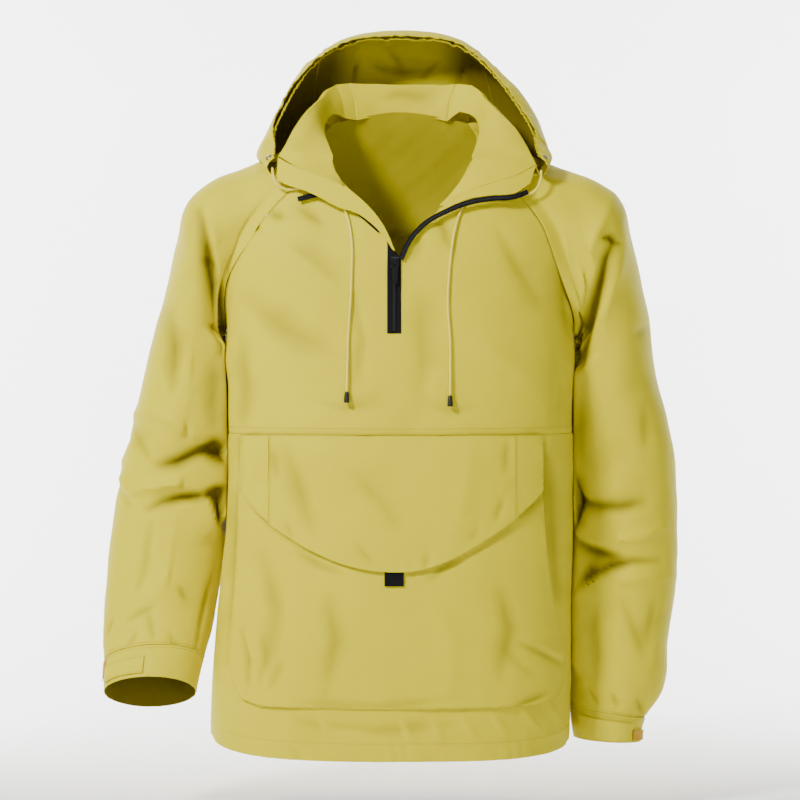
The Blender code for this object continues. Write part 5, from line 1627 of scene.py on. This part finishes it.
class AnorakColours(bpy.types.PropertyGroup):
    """Colours of the finishes."""
    shell: colour("Shell cloth", "Nylon shell", "#D6C804")
    # Colour painted in as shade where the cloth lies in a trough or deep inside.
    shell_painted_fold_shade: colour("Shell cloth in a fold", "Where a fold lies in its own shade", "#3E2C00")
    shell_deep: colour("Shell cloth, deeper", "Where the dye took more", "#CBBC04")
    thread: colour("Thread", "Sewing thread", "#7E6E00")
    cord: colour("Drawcord", "Braided cord", "#E6D640")
    patch: colour("Hook patch", "Hook side of the cuff tabs", "#D8A800")
    # Shade painted between the hooks.
    patch_painted_shade: colour("Hook patch, deeper", "Between the hooks", "#A67A00")
    black: colour("Black", "Zip, webbing and moulded ends", "#040405")
    black_worn: colour("Black, worn", "Where black is rubbed", "#08080A")
    metal: colour("Metal", "Eyelets", "#A79E84")
    metal_deep: colour("Metal, darker", "Tarnish on the eyelets", "#6B624A")
    paper: colour("Paper", "Studio floor and backdrop", "#F4F4F4")
    paper_deep: colour("Paper, darker", "Uneven tone of the paper", "#EFEFEF")


# ---- the pieces

CAMERA_PLACE = (0, -3.2, -0.2875)
CAMERA_LENS = 115.2
FLOOR_Z = -0.80
FLOOR_HALF = 12.0  # half the width of the paper, and its reach to the front
BACKDROP_Y = 1.4  # where the paper starts to bend up
BACKDROP_BEND = 1.2  # radius
BACKDROP_TOP = 5.0
WORLD_LIGHT, WORLD_SEEN = 0.16, 0.95  # strength as light on the part, and where the camera sees it
LIGHT_TARGET = (0, 0, -0.3)
BACKDROP_TARGET = (0.7, 2.6, 0.0)  # x is a share of the light's own
STUDIO_LIGHTS = (
    # name, place, size, power
    ("key_light", (-2.0, -2.2, 1.9), 0.6, 185),
    ("fill_light", (1.2, -3.0, -0.1), 1.8, 26),
    ("top_light", (0.1, -0.3, 2.2), 1.0, 10),
    ("backdrop_light_left", (-1.9, 0.7, 0.4), 1.8, 230),
    ("backdrop_light_right", (1.9, 0.7, 0.4), 1.8, 230),
)


class ANORAK_OT_stage(bpy.types.Operator):
    """Camera, soft studio lights and a pale seamless floor"""
    bl_idname = "anorak.stage"
    bl_label = "Stage"

    def execute(self, context):
        camera = bpy.data.objects.new("camera", bpy.data.cameras.new("camera"))
        camera.data.sensor_width = 36
        camera.data.lens = CAMERA_LENS
        camera.location = CAMERA_PLACE
        camera.rotation_euler = (math.pi / 2, 0, 0)
        context.scene.collection.objects.link(camera)
        context.scene.camera = camera
        for name, place, size, power in STUDIO_LIGHTS:
            light = bpy.data.lights.new(name, "AREA")
            light.size, light.energy = size, power
            lamp = bpy.data.objects.new(name, light)
            lamp.location = place
            target = Vector(LIGHT_TARGET)
            if name.startswith("backdrop"):
                share, y, z = BACKDROP_TARGET
                target = Vector((place[0] * share, y, z))
            lamp.rotation_euler = (target - Vector(place)).to_track_quat("-Z", "Y").to_euler()
            context.scene.collection.objects.link(lamp)
        world = bpy.data.worlds.new("studio")
        world.use_nodes = True
        # Pale where the camera sees it, dimmer where it lights the part.
        tree, sky = world.node_tree, world.node_tree.nodes["Background"]
        path = add(tree, "ShaderNodeLightPath")
        glow = add(tree, "ShaderNodeMapRange", {3: WORLD_LIGHT, 4: WORLD_SEEN}, {0: path.outputs[0]})
        tree.links.new(glow.outputs[0], sky.inputs["Strength"])
        sky.inputs["Color"].default_value = (1, 1, 1, 1)
        context.scene.world = world
        outline = [(-FLOOR_HALF, FLOOR_Z)]
        for turn in np.linspace(0, math.pi / 2, 13):
            outline.append((BACKDROP_Y + BACKDROP_BEND * math.sin(turn),
                            FLOOR_Z + BACKDROP_BEND * (1 - math.cos(turn))))
        outline.append((BACKDROP_Y + BACKDROP_BEND, BACKDROP_TOP))
        points = [(x, y, z) for x in (-FLOOR_HALF, FLOOR_HALF) for y, z in outline]
        count = len(outline)
        mesh = bpy.data.meshes.new("seamless_floor")
        mesh.from_pydata(points, [], [(k, k + count, k + count + 1, k + 1) for k in range(count - 1)])
        mesh.shade_smooth()
        mesh.materials.append(paper_material())
        floor = bpy.data.objects.new("seamless_floor", mesh)
        context.scene.collection.objects.link(floor)
        return {"FINISHED"}


def tube(name, line, radius, sides, swell):
    """A closed tube along a line, swelling with its braid; its UV map holds its turn and run."""
    line = np.asarray(line, float)
    run = lengths(line)
    tangents = np.gradient(line, run, axis=0)
    tangents /= np.linalg.norm(tangents, axis=1, keepdims=True)
    across = np.cross(tangents[0], (0.3, 1.0, 0.2))
    rings = []
    for k, (point, tangent) in enumerate(zip(line, tangents)):
        across = across - tangent * np.dot(across, tangent)
        across /= np.linalg.norm(across)
        other = np.cross(tangent, across)
        turns = np.arange(sides) * 2 * math.pi / sides
        wide = radius * (1 + swell * np.cos(4 * turns + 2 * math.pi * run[k] / BRAID_PITCH))
        rings.append(point + (wide * np.cos(turns))[:, None] * across
                     + (wide * np.sin(turns))[:, None] * other)
    bm = bmesh.new()
    layer = bm.loops.layers.uv.new("run")
    verts = [[bm.verts.new(p * MM) for p in ring] for ring in rings]
    for k in range(len(verts) - 1):
        for j in range(sides):
            m = (j + 1) % sides
            face = bm.faces.new((verts[k][j], verts[k][m], verts[k + 1][m], verts[k + 1][j]))
            spots = ((j, k), (j + 1, k), (j + 1, k + 1), (j, k + 1))
            for loop, (a, b) in zip(face.loops, spots):
                loop[layer].uv = (a / sides * 2 * math.pi * radius * MM, run[b] * MM)
            face.smooth = True
    bm.faces.new(verts[0][::-1])
    bm.faces.new(verts[-1])
    bmesh.ops.recalc_face_normals(bm, faces=bm.faces)
    mesh = bpy.data.meshes.new(name)
    bm.to_mesh(mesh)
    bm.free()
    return mesh


def turned(name, outline, sides, place, axis, joined=False):
    """A piece turned about `axis` from `place`: an outline of (distance, radius).

    A joined one has its last ring closed on its first, and otherwise its ends are closed.
    """
    lean = Vector(axis).to_track_quat("Z", "Y")
    bm = bmesh.new()
    rings = [[bm.verts.new((Vector(place) + lean @ Vector((
        r * math.cos(2 * math.pi * i / sides), r * math.sin(2 * math.pi * i / sides), d))) * MM)
        for i in range(sides)] for d, r in outline]
    for a, b in zip(rings, rings[1:] + (rings[:1] if joined else [])):
        for i in range(sides):
            j = (i + 1) % sides
            bm.faces.new((a[i], a[j], b[j], b[i])).smooth = True
    if not joined:
        bm.faces.new(rings[0][::-1])
        bm.faces.new(rings[-1])
    bmesh.ops.recalc_face_normals(bm, faces=bm.faces)
    mesh = bpy.data.meshes.new(name)
    bm.to_mesh(mesh)
    bm.free()
    mesh.set_sharp_from_angle(angle=math.radians(40))
    return mesh


class ANORAK_OT_drawcords(bpy.types.Operator):
    """Two braided drawcords with their moulded ends, and the eyelets they leave by"""
    bl_idname = "anorak.drawcords"
    bl_label = "Drawcords"

    def execute(self, context):
        for side, end, route in ((-1, "left", CORD_LEFT), (1, "right", CORD_RIGHT)):
            coarse = cord_points(route)
            keys = lengths(coarse)
            fine = np.array([spline(keys, coarse, k) for k in np.linspace(0, keys[-1], 5 * len(coarse))])
            cord = put("cord_" + end, tube("cord_" + end, fine, CORD / 2 - 0.08, 12, BRAID_SWELL),
                       cord_material(), ("drawcord_" + end,))
            down = coarse[-1] - coarse[-2]
            down /= np.linalg.norm(down)
            start = coarse[-1] + down * SEAM
            tip = put("moulded_end_" + end, turned("moulded_end_" + end, CORD_END, 24, start, down),
                      moulded_material(), ("cord_end_" + end,))
            outer, inner, thick = EYELET
            place, normal = corner_place(side)
            flange = [(0, inner / 2), (0, outer / 2), (thick * 0.35, outer / 2),
                      (thick * 0.7, outer / 2 - 0.5), (thick, inner / 2 + 1.1), (thick, inner / 2 + 0.5),
                      (thick * 0.6, inner / 2)]
            rolled = turned("rolled_eyelet_" + end, flange, 32, place + normal * (WALL + SEAM), normal,
                            joined=True)
            put("rolled_eyelet_" + end, rolled, brass_material(), ("eyelet_" + end,))
        return {"FINISHED"}


class ANORAK_OT_front(bpy.types.Operator):
    """Front yoke, slit for the zip, and the lower front"""
    bl_idname = "anorak.front"
    bl_label = "Front"

    def execute(self, context):
        make_cloth("front_yoke", yoke_grid(), blocks=(YOKE_COLUMNS, YOKE_COLUMNS + 1), breaks=(RAGLAN_STEPS,),
                   present=lambda i, j: j != YOKE_COLUMNS or i >= RAGLAN_STEPS,
                   seams=("first", "last", "bottom"), puckers=(("bottom", 0.35, 13, 7),))
        make_cloth("front_lower", lower_grid(), seams=("first", "last", "top"),
                   puckers=(("top", 0.3, 15, 6), ("bottom", 0.7, 19, 22)))
        return {"FINISHED"}


class ANORAK_OT_back(bpy.types.Operator):
    """Back, cut in one from the neck to the hem"""
    bl_idname = "anorak.back"
    bl_label = "Back"

    def execute(self, context):
        # Shade is painted a little on its inner face, which shows through the open neck.
        make_cloth("back", back_grid(), flip=True, seams=("first", "last"), swell=0.8, painted_shade_back=0.35,
                   puckers=(("bottom", 0.7, 21, 22),))
        return {"FINISHED"}


class ANORAK_OT_sleeves(bpy.types.Operator):
    """Two raglan sleeves, creased at the shoulder and the elbow"""
    bl_idname = "anorak.sleeves"
    bl_label = "Sleeves"

    def execute(self, context):
        for side, end, front, back, rings in (
                (-1, "left", RAGLAN_FRONT_LEFT, mirrored(RAGLAN_BACK), SLEEVE_LEFT),
                (1, "right", RAGLAN_FRONT_RIGHT, RAGLAN_BACK, SLEEVE_RIGHT)):
            # Shade is painted on each sleeve's inner face.
            make_cloth("sleeve_" + end, sleeve_grid(side, front, back, rings), closed=True,
                       seams=("top", "bottom"), puckers=(("bottom", 0.7, 12, 9),), swell=0.8, painted_shade_back=0.9)
        return {"FINISHED"}


class ANORAK_OT_cuffs(bpy.types.Operator):
    """Cuffs with their tabs and hook patches"""
    bl_idname = "anorak.cuffs"
    bl_label = "Cuffs"

    def execute(self, context):
        for end, rings, strap, patch in (("left", CUFF_LEFT, STRAP_LEFT, PATCH_LEFT),
                                         ("right", CUFF_RIGHT, STRAP_RIGHT, PATCH_RIGHT)):
            # Shade is painted on each cuff's inner face, which shows in its opening.
            make_cloth("cuff_" + end, np.array([arm_ring(row) for row in rings]), closed=True, pitch=3.0,
                       wall=1.2, seams=("top",), puckers=(("bottom", 0.5, 9, 16),), swell=0.3,
                       painted_shade_back=0.9)
            make_cloth("cuff_strap_" + end, patch_grid(rings, strap), pitch=2.2, wall=1.0, swell=0.2,
                       flip=True)
            make_cloth("hook_patch_" + end, patch_grid(rings, patch), material="hook",
                       pitch=2.2, wall=1.0, swell=0.1, flip=True)
        return {"FINISHED"}


def tuck_neck(neck):
    """Brings a hood panel's neck row down behind the back's edge, at the back of the neck."""
    x, y, z = neck.T
    behind = soft_step(np.abs(x), *NECK_TUCK_ACROSS) * soft_step(y, *NECK_TUCK_BACK)
    height, drop = NECK_TUCK_Z
    neck[:, 2] += behind * (height - drop * (x / 60)**2 - z)


def painted_bag_shade(rows, points):
    """Shade painted on the inside of the thrown-back hood, most at its two sides."""
    ridge, crown = HOOD_STEPS[0], sum(HOOD_STEPS[:4])
    inside = soft_step(rows - ridge, *PAINTED_BAG_SHADE_RIDGE) * soft_step(rows - crown, *PAINTED_BAG_SHADE_CROWN)
    sides = soft_step(np.abs(points[..., 0]), *PAINTED_BAG_SHADE_SIDES)
    return inside * (PAINTED_BAG_SHADE_MIDDLE + (1 - PAINTED_BAG_SHADE_MIDDLE) * sides)


class ANORAK_OT_hood(bpy.types.Operator):
    """Three hood panels, thrown back, and the casing inside the face edge"""
    bl_idname = "anorak.hood"
    bl_label = "Hood"

    def execute(self, context):
        stand = HOOD_STEPS[0]
        for name, start, end, count, lapel in (
                ("hood_left", 0, HOOD_SEAMS[0] - HOOD_GAP, 9, -1),
                ("hood_centre", HOOD_SEAMS[0] - HOOD_GAP, HOOD_SEAMS[1] + HOOD_GAP, 8, 0),
                ("hood_right", HOOD_SEAMS[1] + HOOD_GAP, len(HOOD) - 1, 9, 1)):
            grid, first, last = hood_grid(start, end, count, lapel)
            tuck_neck(grid[0])
            corner = {-1: (last - 1,), 0: (), 1: (first + 1,)}[lapel]
            blocks = sorted({*corner, *(k for k in (first, last) if 0 < k < grid.shape[1] - 1)})
            # Shade is painted on the inside of the thrown-back bag.
            make_cloth(name, grid, blocks=blocks, folds=(stand,), pitch=3.6, wall=1.2, even_out=1,
                       present=lambda i, j, a=first, b=last: i < stand or a <= j < b,
                       seams=() if lapel else ("first", "last"), flip=True, swell=0.7,
                       puckers=(("bottom", 1.4, 11, 13),), painted_shade_face=painted_bag_shade)
        make_cloth("hood_casing", casing_grid(), pitch=2.4, wall=1.0, swell=0.3,
                   puckers=(("top", 0.9, 9, 9), ("bottom", 1.3, 8, 10)))
        return {"FINISHED"}


class ANORAK_OT_bands(bpy.types.Operator):
    """Facing bands of the open front edges"""
    bl_idname = "anorak.bands"
    bl_label = "Bands"

    def execute(self, context):
        for end, table in (("left", BAND_LEFT), ("right", BAND_RIGHT)):
            make_cloth("band_" + end, band_grid(table), pitch=2.6, wall=1.1, swell=0.25,
                       puckers=(("first", 0.25, 12, 5), ("last", 0.25, 11, 5)), flip=end == "left")
        return {"FINISHED"}


class ANORAK_OT_zip(bpy.types.Operator):
    """Zip: tapes, closed strip, teeth, slider and pull"""
    bl_idname = "anorak.zip"
    bl_label = "Zip"

    def execute(self, context):
        for end, table in (("right", TAPE_RIGHT), ("left", TAPE_LEFT)):
            make_cloth("zip_tape_" + end, tape_grid(table), material="tape", pitch=2.0,
                       wall=TAPE_WALL, swell=0.0, flip=end == "right")
        make_cloth("zip_strip", strip_grid(), material="tape", pitch=2.4, wall=1.0,
                   swell=0.0)
        tree = tooth_tree()
        values = {"Tooth pitch": context.scene.anorak_sizes.tooth_pitch, "Tooth": moulded_material()}
        left, right = ZIP_LEFT + SEAM, ZIP_RIGHT - SEAM
        on_strip, on_tape = TOOTH_RISE
        closed_line = np.array([seen((left + right) / 2, z, STRIP_RISE + on_strip)
                                for z in np.linspace(SLIDER_Z - 8, ZIP_BOTTOM + 4, 24)])
        open_line = np.array([seen(x, z, rise + on_tape) for x, z, rise in even(TAPE_RIGHT, 40)])
        teeth = along_lines("zip_teeth", [closed_line, open_line], tree, values)
        put("zip_teeth", teeth, None)
        for node in ("zip_slider", "zip_pull"):
            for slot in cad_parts[node].material_slots:
                slot.material = painted_metal_material()
        return {"FINISHED"}


class ANORAK_OT_pocket(bpy.types.Operator):
    """Front pocket, its flap with two ears, and the webbing tab under the flap"""
    bl_idname = "anorak.pocket"
    bl_label = "Pocket"

    def execute(self, context):
        make_cloth("pocket", pocket_grid(), swell=0.35,
                   puckers=(("bottom", 0.5, 16, 10), ("first", 0.35, 15, 5), ("last", 0.35, 13, 5)))
        make_cloth("pocket_flap", flap_grid(FLAP_LOWER, 16),
                   swell=0.4, puckers=(("bottom", 0.5, 24, 12), ("first", 0.3, 9, 4), ("last", 0.3, 9, 4)))
        for end, lower in (("left", EAR_LEFT_LOWER), ("right", EAR_RIGHT_LOWER)):
            outer = "first" if end == "left" else "last"
            make_cloth("flap_ear_" + end, flap_grid(lower, 3), pitch=2.2, swell=0.5,
                       puckers=((outer, 0.8, 8.5, 6), ("bottom", 0.5, 9, 5)))
        make_cloth("webbing_tab", tab_grid(), material="tape", pitch=1.6, wall=1.4,
                   swell=0.0)
        return {"FINISHED"}


STITCH_ROWS = {
    # piece, edge, distance in from it, start and end as shares of the edge
    "body": (("front_yoke", "bottom", 8, 0.01, 0.99), ("front_lower", "bottom", 22, 0.01, 0.99),
             ("back", "bottom", 22, 0.01, 0.99), ("front_yoke", "first", 2.5, 0.0, 0.7),
             ("front_yoke", "last", 2.5, 0.0, 0.7)),
    "pocket": (("pocket", "first", 2.5, 0.3, 0.98), ("pocket", "last", 2.5, 0.3, 0.98),
               ("pocket", "bottom", 2.5, 0.02, 0.98), ("pocket_flap", "first", 2, 0.0, 0.98),
               ("pocket_flap", "last", 2, 0.0, 0.98), ("flap_ear_left", "first", 2, 0.0, 0.98),
               ("flap_ear_right", "last", 2, 0.0, 0.98), ("flap_ear_left", "bottom", 2, 0.0, 1.0),
               ("flap_ear_right", "bottom", 2, 0.0, 1.0)),
    "hood": (("hood_centre", "first", 2.5, 0.0, 0.93), ("hood_centre", "last", 2.5, 0.0, 0.93),
             ("hood_casing", "top", 2.5, 0.01, 0.99), ("hood_casing", "bottom", 2.5, 0.01, 0.99),
             ("hood_centre", "bottom", 24, 0.0, 1.0)),
    "bands": [(band, edge, 2, 0.02, 0.98)
              for band in ("band_left", "band_right") for edge in ("first", "last")],
    "cuffs": [(piece + side, edge, distance, 0.0, 1.0)
              for piece, edge, distance in (("cuff_", "top", 3.5), ("sleeve_", "bottom", 3),
                                            ("cuff_strap_", "top", 1.8), ("cuff_strap_", "bottom", 1.8))
              for side in ("left", "right")],
}


class ANORAK_OT_sewing(bpy.types.Operator):
    """Topstitching along the seams, hems and edges"""
    bl_idname = "anorak.sewing"
    bl_label = "Sewing"

    def execute(self, context):
        sizes = context.scene.anorak_sizes
        tree = stitch_tree()
        values = {"Stitch pitch": sizes.stitch_pitch, "Stitch length": sizes.stitch_length,
                  "Thread width": sizes.thread_width, "Thread": thread_material()}
        for group, rows in STITCH_ROWS.items():
            name = "stitches_" + group
            stitches = along_lines(name, [inset(*row) for row in rows], tree, values)
            put(name, stitches, None)
        return {"FINISHED"}


class ANORAK_PT_panel(bpy.types.Panel):
    """Lists the anorak's sizes, colours and pieces"""
    bl_idname = "ANORAK_PT_panel"
    bl_label = "Anorak"
    bl_space_type = "VIEW_3D"
    bl_region_type = "UI"
    bl_category = "Anorak"

    def draw(self, context):
        for group in (context.scene.anorak_sizes, context.scene.anorak_colours):
            box = self.layout.box()
            for name in group.__annotations__:
                box.prop(group, name)
        column = self.layout.column(align=True)
        for piece in PIECES:
            column.operator(piece.bl_idname)


PIECES = (ANORAK_OT_stage, ANORAK_OT_drawcords, ANORAK_OT_front, ANORAK_OT_back, ANORAK_OT_sleeves,
          ANORAK_OT_cuffs, ANORAK_OT_hood, ANORAK_OT_bands, ANORAK_OT_zip, ANORAK_OT_pocket,
          ANORAK_OT_sewing)
CLASSES = (AnorakSizes, AnorakColours, *PIECES, ANORAK_PT_panel)


def register():
    for cls in CLASSES:
        bpy.utils.register_class(cls)
    bpy.types.Scene.anorak_sizes = bpy.props.PointerProperty(type=AnorakSizes)
    bpy.types.Scene.anorak_colours = bpy.props.PointerProperty(type=AnorakColours)


def unregister():
    del bpy.types.Scene.anorak_colours
    del bpy.types.Scene.anorak_sizes
    for cls in reversed(CLASSES):
        bpy.utils.unregister_class(cls)


def main():
    register()
    for piece in PIECES:
        group, call = piece.bl_idname.split(".")
        getattr(getattr(bpy.ops, group), call)()


if __name__ == "__main__":
    main()
